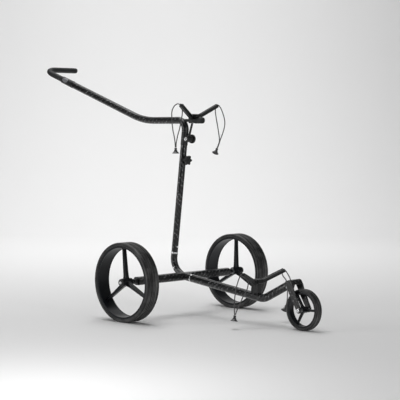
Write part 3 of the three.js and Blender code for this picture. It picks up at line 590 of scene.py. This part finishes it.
def box_surface(made):
    """Surface distances from looking at each face along its nearest axis."""
    mesh = made.data
    places = values(mesh.vertices, "co", np.float32, 3).reshape(-1, 3)
    normals = values(mesh.polygons, "normal", np.float32, 3).reshape(-1, 3)
    sizes = values(mesh.polygons, "loop_total", np.int32)
    owner = np.repeat(np.abs(normals).argmax(1), sizes)
    vertex = values(mesh.loops, "vertex_index", np.int32)
    across = np.array([1, 0, 0])[owner]
    along = np.array([2, 2, 1])[owner]
    corners = np.stack([places[vertex, across], places[vertex, along]], 1)
    layer = mesh.uv_layers.get(SURFACE) or mesh.uv_layers.new(name=SURFACE)
    layer.data.foreach_set("uv", corners.astype(np.float32).ravel())
    return made


def moulded(made, voxel, rounds):
    """Rebuilds a surface on a fine grid and relaxes it, so that its edges are moulded round."""
    remesh = made.modifiers.new("remesh", "REMESH")
    remesh.mode = "VOXEL"
    remesh.voxel_size = voxel
    relax = made.modifiers.new("relax", "SMOOTH")
    relax.factor = 0.5
    relax.iterations = rounds
    apply(made)
    finish_mesh(made, 60)
    return box_surface(made)


def from_node(name, node, voxel, rounds):
    """A moulded piece with the shape of the CAD node that it stands for."""
    dress(moulded(link(name, frame["nodes"][node].data.copy()), voxel, rounds), node)


def dress(made, node):
    """Gives a piece the finish and the body of the CAD node that it stands for."""
    made.data.materials.clear()
    made.data.materials.append(MATERIALS[SLOT_OF[node]])
    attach(made, BODY_OF[node])
    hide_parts(node)
    return made


def lathe(node, *placed, **options):
    """A turned piece that stands for a node."""
    return dress(turned(*placed, **options), node)


def hexagonal(limit):
    """A six-sided hole or nut: radii within the limits, a pair, follow a hexagon."""
    def shape(angle, radius, height):
        if not limit[0] <= radius <= limit[1]:
            return radius
        return radius * math.cos(math.pi / 6) / math.cos(angle % (math.pi / 3) - math.pi / 6)
    return shape


def band(inner, outer, near, far):
    """A plain ring's profile, between two heights."""
    return [(inner, near), (outer, near), (outer, far), (inner, far)]


def screw_profile(socket, head, rounding, shank, floor, top, seat, end):
    """Radii, then the heights of the socket's floor, the head's two ends and the shank's end."""
    return [
        (0, floor), (socket, floor), (socket, top), (head, top, rounding),
        (head, seat), (shank, seat), (shank, end), (0, end),
    ]


# ---- camera ----
CAMERA_PLACE = Vector((4.01485, -3.8412, 0.7381))
CAMERA_TARGET = Vector((0.18, 0.0, 0.45101))
CAMERA_LENS = 127.2  # on a 36 mm sensor


def make_camera():
    data = bpy.data.cameras.new("camera")
    data.lens = CAMERA_LENS
    data.sensor_width = 36.0
    data.clip_end = 60.0
    camera = link("camera", data)
    camera.location = CAMERA_PLACE
    camera.rotation_euler = (CAMERA_TARGET - CAMERA_PLACE).to_track_quat("-Z", "Y").to_euler()
    bpy.context.scene.camera = camera


make_camera()


# ---- elastic loops ----
def smooth_route(points, steps=6):
    """A centripetal Catmull-Rom curve through the points."""
    padded = [points[0] * 2 - points[1], *points, points[-1] * 2 - points[-2]]
    route = []
    for a, b, c, d in zip(padded, padded[1:], padded[2:], padded[3:]):
        knots = [0.0]
        for before, after in ((a, b), (b, c), (c, d)):
            knots.append(knots[-1] + math.sqrt((after - before).length))
        t0, t1, t2, t3 = knots
        for step in range(steps):
            t = t1 + (t2 - t1) * step / steps
            ab = a.lerp(b, (t - t0) / (t1 - t0))
            bc = b.lerp(c, (t - t1) / (t2 - t1))
            cd = c.lerp(d, (t - t2) / (t3 - t2))
            abc = ab.lerp(bc, (t - t0) / (t2 - t0))
            bcd = bc.lerp(cd, (t - t1) / (t3 - t1))
            route.append(abc.lerp(bcd, (t - t1) / (t2 - t1)))
    return [*route, points[-1]]


def strand_heading(points):
    return (points[-1] - points[-2]).normalized()


def make_cone(loop):
    """A flared toggle, hollow underneath, with a collar where the two strands go in."""
    ends = LOOPS[loop]
    top = (ends["tip"][-1] + ends["root"][-1]) / 2
    heading = (strand_heading(ends["tip"]) + strand_heading(ends["root"])).normalized()
    height = CONE_HEIGHT
    profile = [
        (0, 0.001), (0.0034, 0.0002), (CONE_TOP_RADIUS, 0.0012), (CONE_TOP_RADIUS, 0.0046),
        (0.0045, 0.0056), (0.0051, 0.0090), (0.0074, 0.0142), (0.0112, 0.0186),
        (CONE_BASE_RADIUS, height - 0.0016), (CONE_BASE_RADIUS, height),
        (CONE_BASE_RADIUS - 0.0016, height), (0.0098, height - 0.0028), (0.0050, height - 0.0075),
        (0, height - 0.0090),
    ]
    start = top + heading * CONE_GAP
    return lathe(f"{loop}_cone", f"{loop}_toggle", start, heading, profile, 0.0007, sides=64)


STRAND_WORDS = {"tip": "outer", "root": "inner"}
for loop, ends in LOOPS.items():
    toggle = make_cone(loop)
    for end, points in ends.items():
        route = smooth_route(points)
        strand = swept(f"{loop}_{STRAND_WORDS[end]}_strand", route, round_section(CORD_RADIUS, 20))
        dress(strand, f"{loop}_cord_{end}")


# ---- handle ----
HANDLE_SLOPE = (GRIP_Z - HANDLE_LEVEL_Z) / (HANDLE_BEND_X - GRIP_X)


def on_rise(x):
    return at(x, 0, GRIP_Z - HANDLE_SLOPE * (x - GRIP_X))


def on_mast(height, forward=0):
    return MAST_FOOT + MAST_FRONT * forward + MAST_UP * height


RISE_DOWN = (on_rise(COLLAR_END_X) - on_rise(COLLAR_START_X)).normalized()
TUBE_TOP = on_mast(HINGE_HEIGHT + HINGE_SLEEVE_LENGTH + GAP)
ELBOW_CORNER = TUBE_TOP + MAST_UP * ((HANDLE_LEVEL_Z - TUBE_TOP.z) / MAST_UP.z)


def make_handle_tube():
    start = on_rise(COLLAR_END_X) + RISE_DOWN * GAP
    corners = [start, at(HANDLE_BEND_X, 0, HANDLE_LEVEL_Z), ELBOW_CORNER, TUBE_TOP]
    path = bent(corners, [HANDLE_BEND_RADIUS, ELBOW_RADIUS])
    path, scales = eased(path, 0.0008, HANDLE_TUBE_RADIUS)
    dress(swept("handle_tube_carbon", path, round_section(HANDLE_TUBE_RADIUS), scales=scales), "handle_tube")


GRIP_LINES = (-0.75, 0.0, 0.75, math.pi)  # moulded lines along the grip, as angles round it


def grip_section(sides=96):
    section = []
    for angle in angles(sides):
        depth = 0.0
        for line in GRIP_LINES:
            away = math.remainder(angle - line, 2 * math.pi)
            depth += 0.0004 * math.exp(-((away / 0.06) ** 2))
        radius = GRIP_RADIUS - depth
        section.append(Vector((radius * math.cos(angle), radius * math.sin(angle))))
    return section


def make_grip():
    corner = at(GRIP_X, 0, GRIP_Z)
    start = at(GRIP_X, GRIP_END_Y, GRIP_Z)
    path = bent([start, corner, on_rise(COLLAR_START_X) - RISE_DOWN * GAP], [GRIP_CORNER_RADIUS])
    path, scales = eased(path, 0.0008, GRIP_RADIUS)
    dress(swept("grip_sleeve", path, grip_section(), side=ALONG, scales=scales), "grip")
    cap = [
        (0, GAP), (GRIP_RADIUS - 0.0012, GAP), (GRIP_RADIUS - 0.001, 0.0045, 0.003),
        (0.0074, GRIP_CAP_LENGTH, 0.001), (0.0064, GRIP_CAP_LENGTH - 0.0008), (0, GRIP_CAP_LENGTH - 0.0003),
    ]
    lathe("grip_end_cap", "grip_plug", start, ACROSS, cap)


def make_collar():
    start = on_rise(COLLAR_START_X)
    length = (on_rise(COLLAR_END_X) - start).length
    rib = 0.0032
    wide, groove = COLLAR_RADIUS, COLLAR_RADIUS - 0.0012
    profile = [
        (0, 0), (groove, 0), (wide - 0.0006, 0.0015),
        (wide - 0.0004, length - 3 * rib, 0.0005), (groove, length - 2.8 * rib),
        (groove, length - 2.4 * rib), (wide, length - 2.2 * rib), (wide, length - 0.4 * rib),
        (groove, length), (0, length),
    ]
    lathe("grip_collar", "collar_moulding", start, RISE_DOWN, profile, 0.0004)


BADGE_HALF_LENGTH = 0.017
BADGE_HALF_WIDTH = 0.0108
BADGE_BACK = 0.008  # behind the collar's middle
# The plate from its back to its middle: shares of its outline, and heights over the collar.
BADGE_RINGS = [
    (0.02, 0), (1.0, 0), (1.0, 0.0009), (0.96, 0.0013), (0.88, 0.0013), (0.84, 0.0008),
    (0.6, 0.00105), (0.3, 0.0012), (0.02, 0.00125),
]


def make_badge():
    """A blank oval plate bent round the collar: a raised rim round a shallow dome."""
    lowest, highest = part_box("badge")
    middle = on_rise((COLLAR_START_X + COLLAR_END_X) / 2 - BADGE_BACK)
    out_of_line = (lowest + highest) / 2 - middle
    outward = (out_of_line - RISE_DOWN * out_of_line.dot(RISE_DOWN)).normalized()
    beside = RISE_DOWN.cross(outward)
    sides = 72

    def ring(share, height):
        places = []
        for angle in angles(sides):
            along = BADGE_HALF_LENGTH * share * math.cos(angle)
            turn = BADGE_HALF_WIDTH * share * math.sin(angle) / COLLAR_RADIUS
            spoke = outward * math.cos(turn) + beside * math.sin(turn)
            places.append(middle + RISE_DOWN * along + spoke * (COLLAR_RADIUS - 0.0004 + height))
        return places

    rings = [ring(share, height) for share, height in BADGE_RINGS]
    around = [2 * math.pi * BADGE_HALF_LENGTH * i / sides for i in range(sides + 1)]
    lengths = [BADGE_HALF_LENGTH * i / len(rings) for i in range(len(rings) + 1)]
    dress(box_surface(skin("badge_plate", rings, around, lengths)), "badge")


HAND_KNOB_RADIUS = 0.0175
FLUTES = 20
FLUTE_DEPTH = 0.0005


def make_hinge():
    for node in ("handle_hinge_half", "mast_hinge_half"):
        from_node(f"{node}_casting", node, 0.0006, 5)
    from_node("knob_boss_moulding", "knob_boss", 0.0005, 4)
    screw = screw_profile(
        socket=0.0034, head=0.0075, rounding=0.0016, shank=0.004,
        floor=-0.0143, top=-0.0165, seat=-0.0128, end=0.0215,
    )
    lathe("hinge_bolt", "hinge_cap_screw", HINGE, ACROSS, screw, 0.0003, shape=hexagonal((0.003, 0.0035)))

    def fluted(angle, radius, height):
        if radius < 0.0155 or height < 0.0157:
            return radius
        return radius - FLUTE_DEPTH - FLUTE_DEPTH * math.cos(FLUTES * angle)

    bore = 0.0045
    profile = [
        (bore, 0.0135), (0.011, 0.0135), (0.0112, 0.0157), (HAND_KNOB_RADIUS, 0.0158, 0.002),
        (HAND_KNOB_RADIUS, 0.0255, 0.0035), (0.0095, 0.0255, 0.001), (0.0088, 0.0245), (bore, 0.0245),
    ]
    lathe("hinge_knob", "hinge_hand_knob", HINGE, ACROSS, profile, 0.0005, ring=True, sides=160, shape=fluted)


LOBES = 6
LOBE_HEIGHT = 0.0032
STAR_RADIUS = 0.0166


def make_mast_knob():
    """A star knob with a recessed cap, on a neck and a stem."""
    def lobed(angle, radius, height):
        share = max(0, min(1.0, (radius - 0.0085) / 0.006))
        return radius + LOBE_HEIGHT * share * math.cos(LOBES * angle)

    profile = [
        (0, 0.013), (0.004, 0.013), (0.004, 0.0176), (0.0088, 0.0178), (0.009, 0.0205),
        (STAR_RADIUS, 0.0206, 0.003), (STAR_RADIUS, 0.0334, 0.0045), (0.0105, 0.0335, 0.001),
        (0.0096, 0.0326), (0.0062, 0.0326), (0.0056, 0.0332), (0, 0.0334),
    ]
    centre = on_mast(MAST_KNOB_HEIGHT)
    lathe("mast_knob", "mast_star_knob", centre, MAST_FRONT, profile, 0.0005, sides=180, shape=lobed)


MAST_TURN = Matrix((MAST_FRONT, ACROSS, MAST_UP)).transposed()
RELEASE_HOLE_RADIUS = 0.005
RELEASE_STUD_RADIUS = 0.0045
SPIGOT_RADIUS = MAST_BORE_RADIUS - 0.0004
SPIGOT_LENGTH = 0.050
KEYWAY_SIZE = (0.010, 0.024, 0.052)


def make_mast():
    length = HINGE_HEIGHT - HINGE_SLEEVE_LENGTH - GAP
    profile = [
        (0, MAST_BORE_DEPTH), (MAST_BORE_RADIUS, MAST_BORE_DEPTH), (MAST_BORE_RADIUS, 0),
        (MAST_RADIUS, 0), (MAST_RADIUS, length), (0, length),
    ]
    tube = turned("mast_carbon", MAST_FOOT, MAST_UP, profile, 0.0004, steps=2)
    release = on_mast(RELEASE_HEIGHT)
    hole = turned("hole", release, MAST_FRONT, band(0, RELEASE_HOLE_RADIUS, 0, 0.02), 0)
    dress(combine(tube, hole, "DIFFERENCE"), "mast_tube")
    stud = [
        (0, 0.0068), (RELEASE_STUD_RADIUS, 0.0068), (RELEASE_STUD_RADIUS, 0.0138, 0.0002),
        (0.0032, 0.0149, 0.0012), (0, 0.0151),
    ]
    lathe("release_button", "release_stud", release, MAST_FRONT, stud, 0.0003, sides=48)
    foot = -RING_HEIGHT - 0.012
    spigot = [
        (0, foot), (0.008, foot), (0.008, -RING_HEIGHT), (RING_RADIUS, -RING_HEIGHT, 0.0006),
        (RING_RADIUS, -GAP, 0.0006), (SPIGOT_RADIUS, -GAP), (SPIGOT_RADIUS, SPIGOT_LENGTH, 0.0018),
        (0, SPIGOT_LENGTH),
    ]
    made = turned("mast_ferrule", MAST_FOOT, MAST_UP, spigot, 0.0004)
    keyway = link("keyway", bpy.data.meshes.new("keyway"))
    work = bmesh.new()
    bmesh.ops.create_cube(work, size=1.0)
    turn = Matrix.Translation(on_mast(0.027, 0.0092)) @ MAST_TURN.to_4x4()
    work.transform(turn @ Matrix.Diagonal((*KEYWAY_SIZE, 1)))
    work.to_mesh(keyway.data)
    work.free()
    dress(combine(made, keyway, "DIFFERENCE"), "mast_spigot")


# ---- bag brackets ----
def grooved_section(width, height, corner, groove, depth):
    """A rounded rectangle with a shallow groove along the middle of each side."""
    w, h = width / 2, height / 2
    first = [
        (w - depth, 0), (w - depth, groove / 2), (w, groove / 2 + depth), (w, h, corner),
        (groove / 2 + depth, h), (groove / 2, h - depth),
    ]
    second = [(-x, y, *rest) for x, y, *rest in reversed(first)]
    third = [(-x, -y, *rest) for x, y, *rest in first]
    fourth = [(x, -y, *rest) for x, y, *rest in reversed(first)]
    return softened([*first, *second, *third, *fourth], 0.0006, 3)


ARM_STUB_END_Y = 0.024
ARM_EDGE = 0.0012
# Each bracket's left arm: its root, tip, width and height, then its nose's length and last scale.
ARMS = {
    "upper": (at(0.064, 0.027, 0.774), at(0.0885, 0.101, 0.8156), 0.014, 0.014, (0.007, 0.35)),
    "lower": (at(0.3975, 0.027, 0.1624), at(0.4225, 0.114, 0.1965), 0.017, 0.013, (0.0012, 0.86)),
}


def make_arm(node, root, tip, width, height, nose, side):
    """A grooved bar from the block's stub to its nose. side is -1 on the right."""
    heading = (tip - root).normalized()
    start = root + heading * ((ARM_STUB_END_Y - root.y) / heading.y + GAP)
    reach, last = nose
    body_end = (tip - start).length - reach
    stations = [(0, 0.94), (0.0006, 0.985), (ARM_EDGE, 1)]
    stations += [(ARM_EDGE + (body_end - ARM_EDGE) * share, 1) for share in (0.25, 0.5, 0.75, 1)]
    for step in range(1, 9):
        angle = math.pi / 2 * step / 8
        stations.append((body_end + reach * math.sin(angle), last + (1 - last) * math.cos(angle)))
    path = [start + heading * distance for distance, _ in stations]
    scales = [(size, size) for _, size in stations]
    path = [Vector((p.x, p.y * side, p.z)) for p in path]
    section = grooved_section(width, height, corner=0.0035, groove=0.0042, depth=0.0011)
    dress(swept(f"{node}_bar", path, section, side=ALONG, scales=scales), node)


BUMPER_GROOVES = (0.012, 0.020)  # from the block's side


def make_brackets():
    """The blocks, arms, post, rod and stay that hold a bag, and the upper block's rubber stop."""
    for level, bar in ARMS.items():
        for side, word in ((-1, "right"), (1, "left")):
            make_arm(f"{level}_arm_{word}", *bar, side)
        node = f"{level}_bracket_block"
        from_node(f"{level}_block_moulding", node, 0.0007, 5)
    from_node("post_moulding", "lower_bracket_post", 0.0007, 5)
    from_node("rod_moulding", "bracket_rod", 0.0005, 6)
    from_node("stay_moulding", "bracket_stay", 0.0005, 6)
    lowest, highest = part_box("bumper")
    radius = (highest.y - lowest.y) / 2
    length = highest.x - lowest.x
    profile = [(0, 0), (radius - 0.001, 0), (radius, 0.002)]
    for start in BUMPER_GROOVES:
        profile += [
            (radius, start), (radius - 0.0012, start + 0.0008), (radius - 0.0012, start + 0.0028),
            (radius, start + 0.0036),
        ]
    profile += [(radius, length, 0.0052), (0, length)]
    centre = Vector((lowest.x, 0, (lowest.z + highest.z) / 2))
    lathe("bumper", "bumper_stop", centre, ALONG, profile, 0.0005)


# ---- rear frame ----
SOCKET_START = 0.0509  # behind the front tube's seat, as is the next
SOCKET_END = 0.00736


def make_rear_frame():
    """A flattened cross beam with the mast's elbow and the front tube's socket grown on to it."""
    w, h = AXLE_WIDTH / 2, AXLE_HEIGHT / 2
    section = softened([(w, -h), (w, h), (-w, h), (-w, -h)], 0.012, 10)
    ends = at(0, -AXLE_HALF_LENGTH, AXLE_Z), at(0, AXLE_HALF_LENGTH, AXLE_Z)
    path, scales = eased([ends[0], at(0, 0, AXLE_Z), ends[1]], 0.0012, w)
    made = swept("rear_frame_carbon", path, section, side=ALONG, scales=scales)
    elbow_corners = [on_mast(-RING_HEIGHT - GAP), at(-0.0575, 0, 0.186), at(0, 0, AXLE_Z)]
    elbow = swept("elbow", bent(elbow_corners, [0.060]), round_section(RING_RADIUS))
    made = combine(made, elbow, "UNION")
    line = [FRONT_SEAT - FRONT_DOWN * SOCKET_START, FRONT_SEAT - FRONT_DOWN * SOCKET_END]
    made = combine(made, swept("socket", line, round_section(FRONT_TUBE_RADIUS)), "UNION")
    dress(made, "rear_frame")


def make_rear_fittings():
    screw = screw_profile(
        socket=0.002, head=0.0046, rounding=0.0009, shank=0.003,
        floor=0.0145, top=0.016, seat=0.0134, end=0.0095,
    )
    place = at(-0.040, 0, 0.181)
    socket = hexagonal((0.0018, 0.0021))
    lathe("elbow_screw", "elbow_cap_screw", place, -ACROSS, screw, 0.0002, sides=60, shape=socket)
    ring_start = GAP - SOCKET_END
    ring_radius = FRONT_TUBE_RADIUS + 0.0005
    spigot_radius = FRONT_BORE_RADIUS - 0.0004
    spigot = [
        (0, ring_start - 0.012), (0.009, ring_start - 0.012), (0.009, ring_start),
        (ring_radius, ring_start, 0.0006), (ring_radius, -GAP, 0.0006), (spigot_radius, -GAP),
        (spigot_radius, 0.055, 0.002), (0, 0.055),
    ]
    lathe("front_spigot", "front_ferrule", FRONT_SEAT, FRONT_DOWN, spigot, 0.0003)


# ---- front section ----
def on_front(x):
    return FRONT_SEAT + Vector((1, 0, FRONT_DOWN.z / FRONT_DOWN.x)) * (REAR_X + x - FRONT_SEAT.x)


def make_front_tube():
    bend = on_front(FRONT_BEND_X)
    end = bend + Vector((1, 0, FRONT_RISE)) * (FRONT_TUBE_END_X - FRONT_BEND_X)
    path, scales = eased(bent([FRONT_SEAT, bend, end], [FRONT_BEND_RADIUS]), 0.0008, FRONT_TUBE_RADIUS)
    made = swept("front_tube_carbon", path, round_section(FRONT_TUBE_RADIUS), scales=scales)
    section = band(0, FRONT_BORE_RADIUS, -0.002, FRONT_BORE_DEPTH)
    bore = turned("bore", FRONT_SEAT, FRONT_DOWN, section, 0)
    dress(combine(made, bore, "DIFFERENCE"), "front_tube")


FORK_HALF_WIDTH = 0.030
NECK_HALF_WIDTH = 0.017
FORK_SCREW = at(0.554, 0, 0.153)


def make_fork():
    """The fork, the screw in its neck, and the wheel's bolt with a socket head and a nut."""
    from_node("fork_carbon", "front_fork", 0.0008, 7)
    out = FORK_HALF_WIDTH
    neck = NECK_HALF_WIDTH
    screw = screw_profile(
        socket=0.0022, head=0.005, rounding=0.001, shank=0.003,
        floor=neck + 0.0015, top=neck + 0.0035, seat=neck + GAP, end=neck - 0.0032,
    )
    socket = hexagonal((0.002, 0.0023))
    lathe("fork_bolt", "fork_cap_screw", FORK_SCREW, -ACROSS, screw, 0.0002, sides=60, shape=socket)
    shank, head, nut = 0.004, 0.007, 0.00655
    axle = [
        (0, -out - 0.0025), (0.003, -out - 0.0025), (0.003, -out - 0.0045),
        (head, -out - 0.0045, 0.0014), (head, -out - GAP), (shank, -out - GAP),
        (shank, out + GAP), (nut, out + GAP), (nut, out + 0.0043),
        (shank, out + 0.0045), (shank, out + 0.0035), (0, out + 0.0038),
    ]

    def faceted(angle, radius, height):
        limits = (0.0028, 0.0031) if height < 0 else (0.006, 0.0067)
        return hexagonal(limits)(angle, radius, height)

    lathe("front_axle_bolt", "front_axle_screw", FRONT_WHEEL, ACROSS, axle, 0.0003, sides=60, shape=faceted)


# ---- wheels ----
def spoke_section(width, depth):
    """A rounded bar with a shallow recess in both broad faces."""
    w, d = width / 2, depth / 2
    rib = width * 0.2
    sunk = depth * 0.16
    half = [
        (w, -d), (w, d), (w - rib, d), (w - rib - sunk, d - sunk),
        (-w + rib + sunk, d - sunk), (-w + rib, d), (-w, d), (-w, -d),
    ]
    lower = [(x, -y) for x, y in reversed(half[2:6])]
    return softened([*half, *lower], 0.001, 3)


def make_spider(centre, size, first_turn):
    """A hub with three tapering spokes, relaxed so that they flow into it."""
    half = size.hub_half
    hub = band(size.bore, size.hub, -half, half)
    made = turned("spider", centre, ACROSS, hub, 0.001, ring=True, sides=72)
    start = size.hub * 0.85
    reach = size.inner + 0.002 - start
    for i in range(3):
        angle = math.radians(first_turn + 120 * i)
        outward = Vector((math.cos(angle), 0, math.sin(angle)))
        beside = Vector((-math.sin(angle), 0, math.cos(angle)))
        path, scales = [], []
        for step in range(13):
            share = step / 12
            path.append(centre + outward * (start + reach * share))
            wide = size.foot + (size.tip - size.foot) * share
            root = 1 + 0.25 * math.exp(-((share / 0.07) ** 2))
            root += 0.5 * math.exp(-(((1 - share) / 0.05) ** 2))
            scales.append((wide / size.foot * root, 1 + 0.25 * (root - 1)))
        section = spoke_section(size.foot * 2, size.depth)
        made = combine(made, swept("spoke", path, section, side=beside, scales=scales), "UNION")
    return moulded(made, size.voxel, 6)


LIP_HEIGHT = 0.0011


def make_rim(word, node, centre, size, first_turn):
    """A rim with a lip at both edges of its inside, and its spokes."""
    half = size.width / 2
    inner, outer = size.inner, size.outer
    edge = half - size.lip
    profile = [
        (inner, -half), (inner, -edge), (inner + LIP_HEIGHT, LIP_HEIGHT - edge),
        (inner + LIP_HEIGHT, edge - LIP_HEIGHT), (inner, edge), (inner, half),
        (outer, half), (outer, -half),
    ]
    ring = turned(f"{word}_rim_moulding", centre, ACROSS, profile, 0.0009, ring=True, sides=192)
    dress(combine(ring, make_spider(centre, size, first_turn), "UNION"), node)


def tyre_profile(inner, outer, half, shoulder, grooves):
    """A tyre's whole section: beads, rounded shoulders, and a grooved tread."""
    tread = []
    for middle, wide, deep in grooves:
        tread += [
            (outer, middle - wide, 0.0006), (outer - deep, middle - wide * 0.55, 0.0005),
            (outer - deep, middle + wide * 0.55, 0.0005), (outer, middle + wide, 0.0006),
        ]
    knee = shoulder * 0.3
    return [
        (inner, -half), (outer - shoulder, -half, 0.0015), (outer - knee, knee - half, 0.002),
        (outer, shoulder - half, 0.0015), *tread, (outer, half - shoulder, 0.0015),
        (outer - knee, half - knee, 0.002), (outer - shoulder, half, 0.0015), (inner, half),
    ]


REAR_WHEEL = SimpleNamespace(
    outer=0.1376, inner=0.130, width=0.056, lip=0.0035, hub=0.015, hub_half=0.023,
    bore=0.0114, foot=0.008, tip=0.0038, depth=0.015, voxel=0.0008,
)
FRONT_WHEEL_SIZE = SimpleNamespace(
    outer=0.0656, inner=0.0587, width=0.025, lip=0.0025, hub=0.0115, hub_half=0.014,
    bore=0.0084, foot=0.005, tip=0.0038, depth=0.008, voxel=0.0006,
)
FIRST_SPOKE = {"right": 95.5, "left": 90.0}
# Grooves of a tread: the middle, half the width, and the depth.
REAR_GROOVES = [
    (-0.0165, 0.0009, 0.0012), (-0.0085, 0.0019, 0.0026), (0, 0.0009, 0.0012),
    (0.0085, 0.0019, 0.0026), (0.0165, 0.0009, 0.0012),
]
FRONT_GROOVES = [(-0.0045, 0.0007, 0.0011), (0.0045, 0.0007, 0.0011)]

# Each hub ring's piece and section, measured outwards from the wheel's middle.
HUB_RINGS = {
    "hub_bearing": ("bearing_race", band(0.0079, 0.01105, -0.022, 0.021)),
    "hub_cap_ring": (
        "cap_ring_moulding",
        [(0.0063, 0.0233), (0.0135, 0.0233), (0.0135, 0.030, 0.0025), (0.0063, 0.030, 0.0012)],
    ),
    "hub_sleeve": ("sleeve_turning", band(0.0064, 0.0075, -0.030, 0.022)),
}
STUB_RADIUS = 0.0095
PIN_RADIUS = 0.006


def make_rear_wheel(word, side):
    centre = Vector(JOINTS[f"{word}_wheel_spin"]["pos_m"])
    out = ACROSS * side
    make_rim(word, f"rear_rim_{word}", centre, REAR_WHEEL, FIRST_SPOKE[word])
    profile = tyre_profile(0.138, 0.150, 0.029, 0.0032, REAR_GROOVES)
    lathe(
        f"rear_tyre_{word}", f"{word}_tyre_rubber", centre, ACROSS, profile, 0.0006,
        ring=True, sides=224, steps=4,
    )
    for node, (name, section) in HUB_RINGS.items():
        lathe(f"{node}_{word}", f"{word}_{name}", centre, out, section, 0.0004, ring=True)
    button = [
        (0, 0.021), (0.0058, 0.021), (0.0058, 0.0312, 0.0008), (0.0052, 0.032, 0.0008),
        (0.0036, 0.032), (0.0032, 0.0314), (0, 0.0312),
    ]
    lathe(f"hub_button_{word}", f"{word}_quick_release", centre, out, button, 0.0003)
    stub_start = AXLE_HALF_LENGTH + GAP
    stub_end = centre.y * side - 0.0305
    stub = [
        (0, stub_start), (STUB_RADIUS, stub_start), (STUB_RADIUS, stub_end, 0.001),
        (PIN_RADIUS, stub_end), (PIN_RADIUS, 0.3105), (0.0048, 0.3115, 0.0004),
        (0.0048, 0.3125, 0.0004), (PIN_RADIUS, 0.3132), (0.0055, 0.315), (0, 0.315),
    ]
    lathe(f"axle_stub_{word}", f"{word}_stub_axle", at(0, 0, AXLE_Z), out, stub, 0.0004)


def make_front_wheel():
    make_rim("front", "front_rim", FRONT_WHEEL, FRONT_WHEEL_SIZE, 1.0)
    profile = tyre_profile(0.066, 0.075, 0.0135, 0.0028, FRONT_GROOVES)
    lathe("front_tyre", "front_tyre_rubber", FRONT_WHEEL, ACROSS, profile, 0.0006, ring=True, sides=160)
    bearing = band(0.0045, 0.00805, -0.024, 0.024)
    lathe("front_bearing", "front_bearing_race", FRONT_WHEEL, ACROSS, bearing, 0.0004, ring=True)


make_handle_tube()
make_grip()
make_collar()
make_badge()
make_hinge()
make_mast_knob()
make_mast()
make_brackets()
make_rear_frame()
make_rear_fittings()
make_front_tube()
make_fork()
make_rear_wheel("right", -1)
make_rear_wheel("left", 1)
make_front_wheel()


# ---- stage and light ----
PAPER = (0.86, 0.86, 0.86, 1)
FLOOR_REACH = 9.0
BACKDROP_BACK = 3.6  # how far behind the cart the floor turns up
BACKDROP_TURN = 1.6  # the radius of that turn
BACKDROP_HEIGHT = 7.0


def make_stage():
    """A pale floor that turns up into a backdrop, square to the camera."""
    away = CAMERA_TARGET - CAMERA_PLACE
    away.z = 0
    away.normalize()
    sideways = away.cross(UP)
    wall = away * (BACKDROP_BACK + BACKDROP_TURN)
    corners = [away * -FLOOR_REACH, wall, wall + UP * BACKDROP_HEIGHT]
    line = bent(corners, [BACKDROP_TURN], math.pi / 48)
    points = [place + sideways * side for place in line for side in (-FLOOR_REACH, FLOOR_REACH)]
    faces = [(2 * i, 2 * i + 1, 2 * i + 3, 2 * i + 2) for i in range(len(line) - 1)]
    mesh = bpy.data.meshes.new("studio_floor")
    mesh.from_pydata(points, [], faces)
    mesh.shade_smooth()
    floor = link("studio_floor", mesh)
    net = Network("studio_paper", Base_Color=PAPER, Roughness=0.9, Specular_IOR_Level=0.1)
    # The paper is clear from behind, so that the backdrop doesn't hide the cart from that side.
    behind = net.node("NewGeometry").outputs["Backfacing"]
    clear = net.node("BsdfTransparent").outputs[0]
    mixed = net.node("MixShader", {0: behind, 1: net.shader.outputs[0], 2: clear})
    net.feed(net.tree.nodes["Material Output"].inputs["Surface"], mixed.outputs[0])
    floor.data.materials.append(net.material)


WORLD_STRENGTH = 0.05
# Each light's place, target, size, power in watts and spread in degrees.
LIGHTS = {
    "overhead": ((-0.3, -0.2, 3.4), (-0.4, -0.3, 0), (3.0, 2.2), 66, 180),
    "floor_light": ((1.1, -1.5, 1.3), (1.0, -1.5, 0), (0.6, 0.6), 3.6, 95),
    "left_strip": ((-1.6, -3.2, 1.0), (0, 0, 0.4), (0.4, 2.4), 34, 180),
    "front_strip": ((3.6, -0.6, 0.9), (0.2, 0, 0.4), (0.4, 1.8), 20, 180),
    "right_rim": ((3.2, 1.6, 1.8), (0.2, 0, 0.4), (0.5, 2.2), 10, 180),
    "backdrop_light": ((-2.1, 1.7, 3.4), (-3.0, 2.6, 0.2), (3.4, 2.4), 66, 140),
}


def make_light():
    world = bpy.data.worlds.new("studio")
    bpy.context.scene.world = world
    world.use_nodes = True
    background = world.node_tree.nodes["Background"]
    background.inputs["Color"].default_value = (1, 1, 1, 1)
    background.inputs["Strength"].default_value = WORLD_STRENGTH
    for name, (place, target, size, power, spread) in LIGHTS.items():
        data = bpy.data.lights.new(name, "AREA")
        data.shape = "RECTANGLE"
        data.size, data.size_y = size
        data.energy = power
        data.spread = math.radians(spread)
        light = link(name, data)
        light.location = place
        heading = Vector(target) - light.location
        light.rotation_euler = heading.to_track_quat("-Z", "Y").to_euler()
    bpy.context.scene.view_settings.view_transform = "Standard"


make_stage()
make_light()
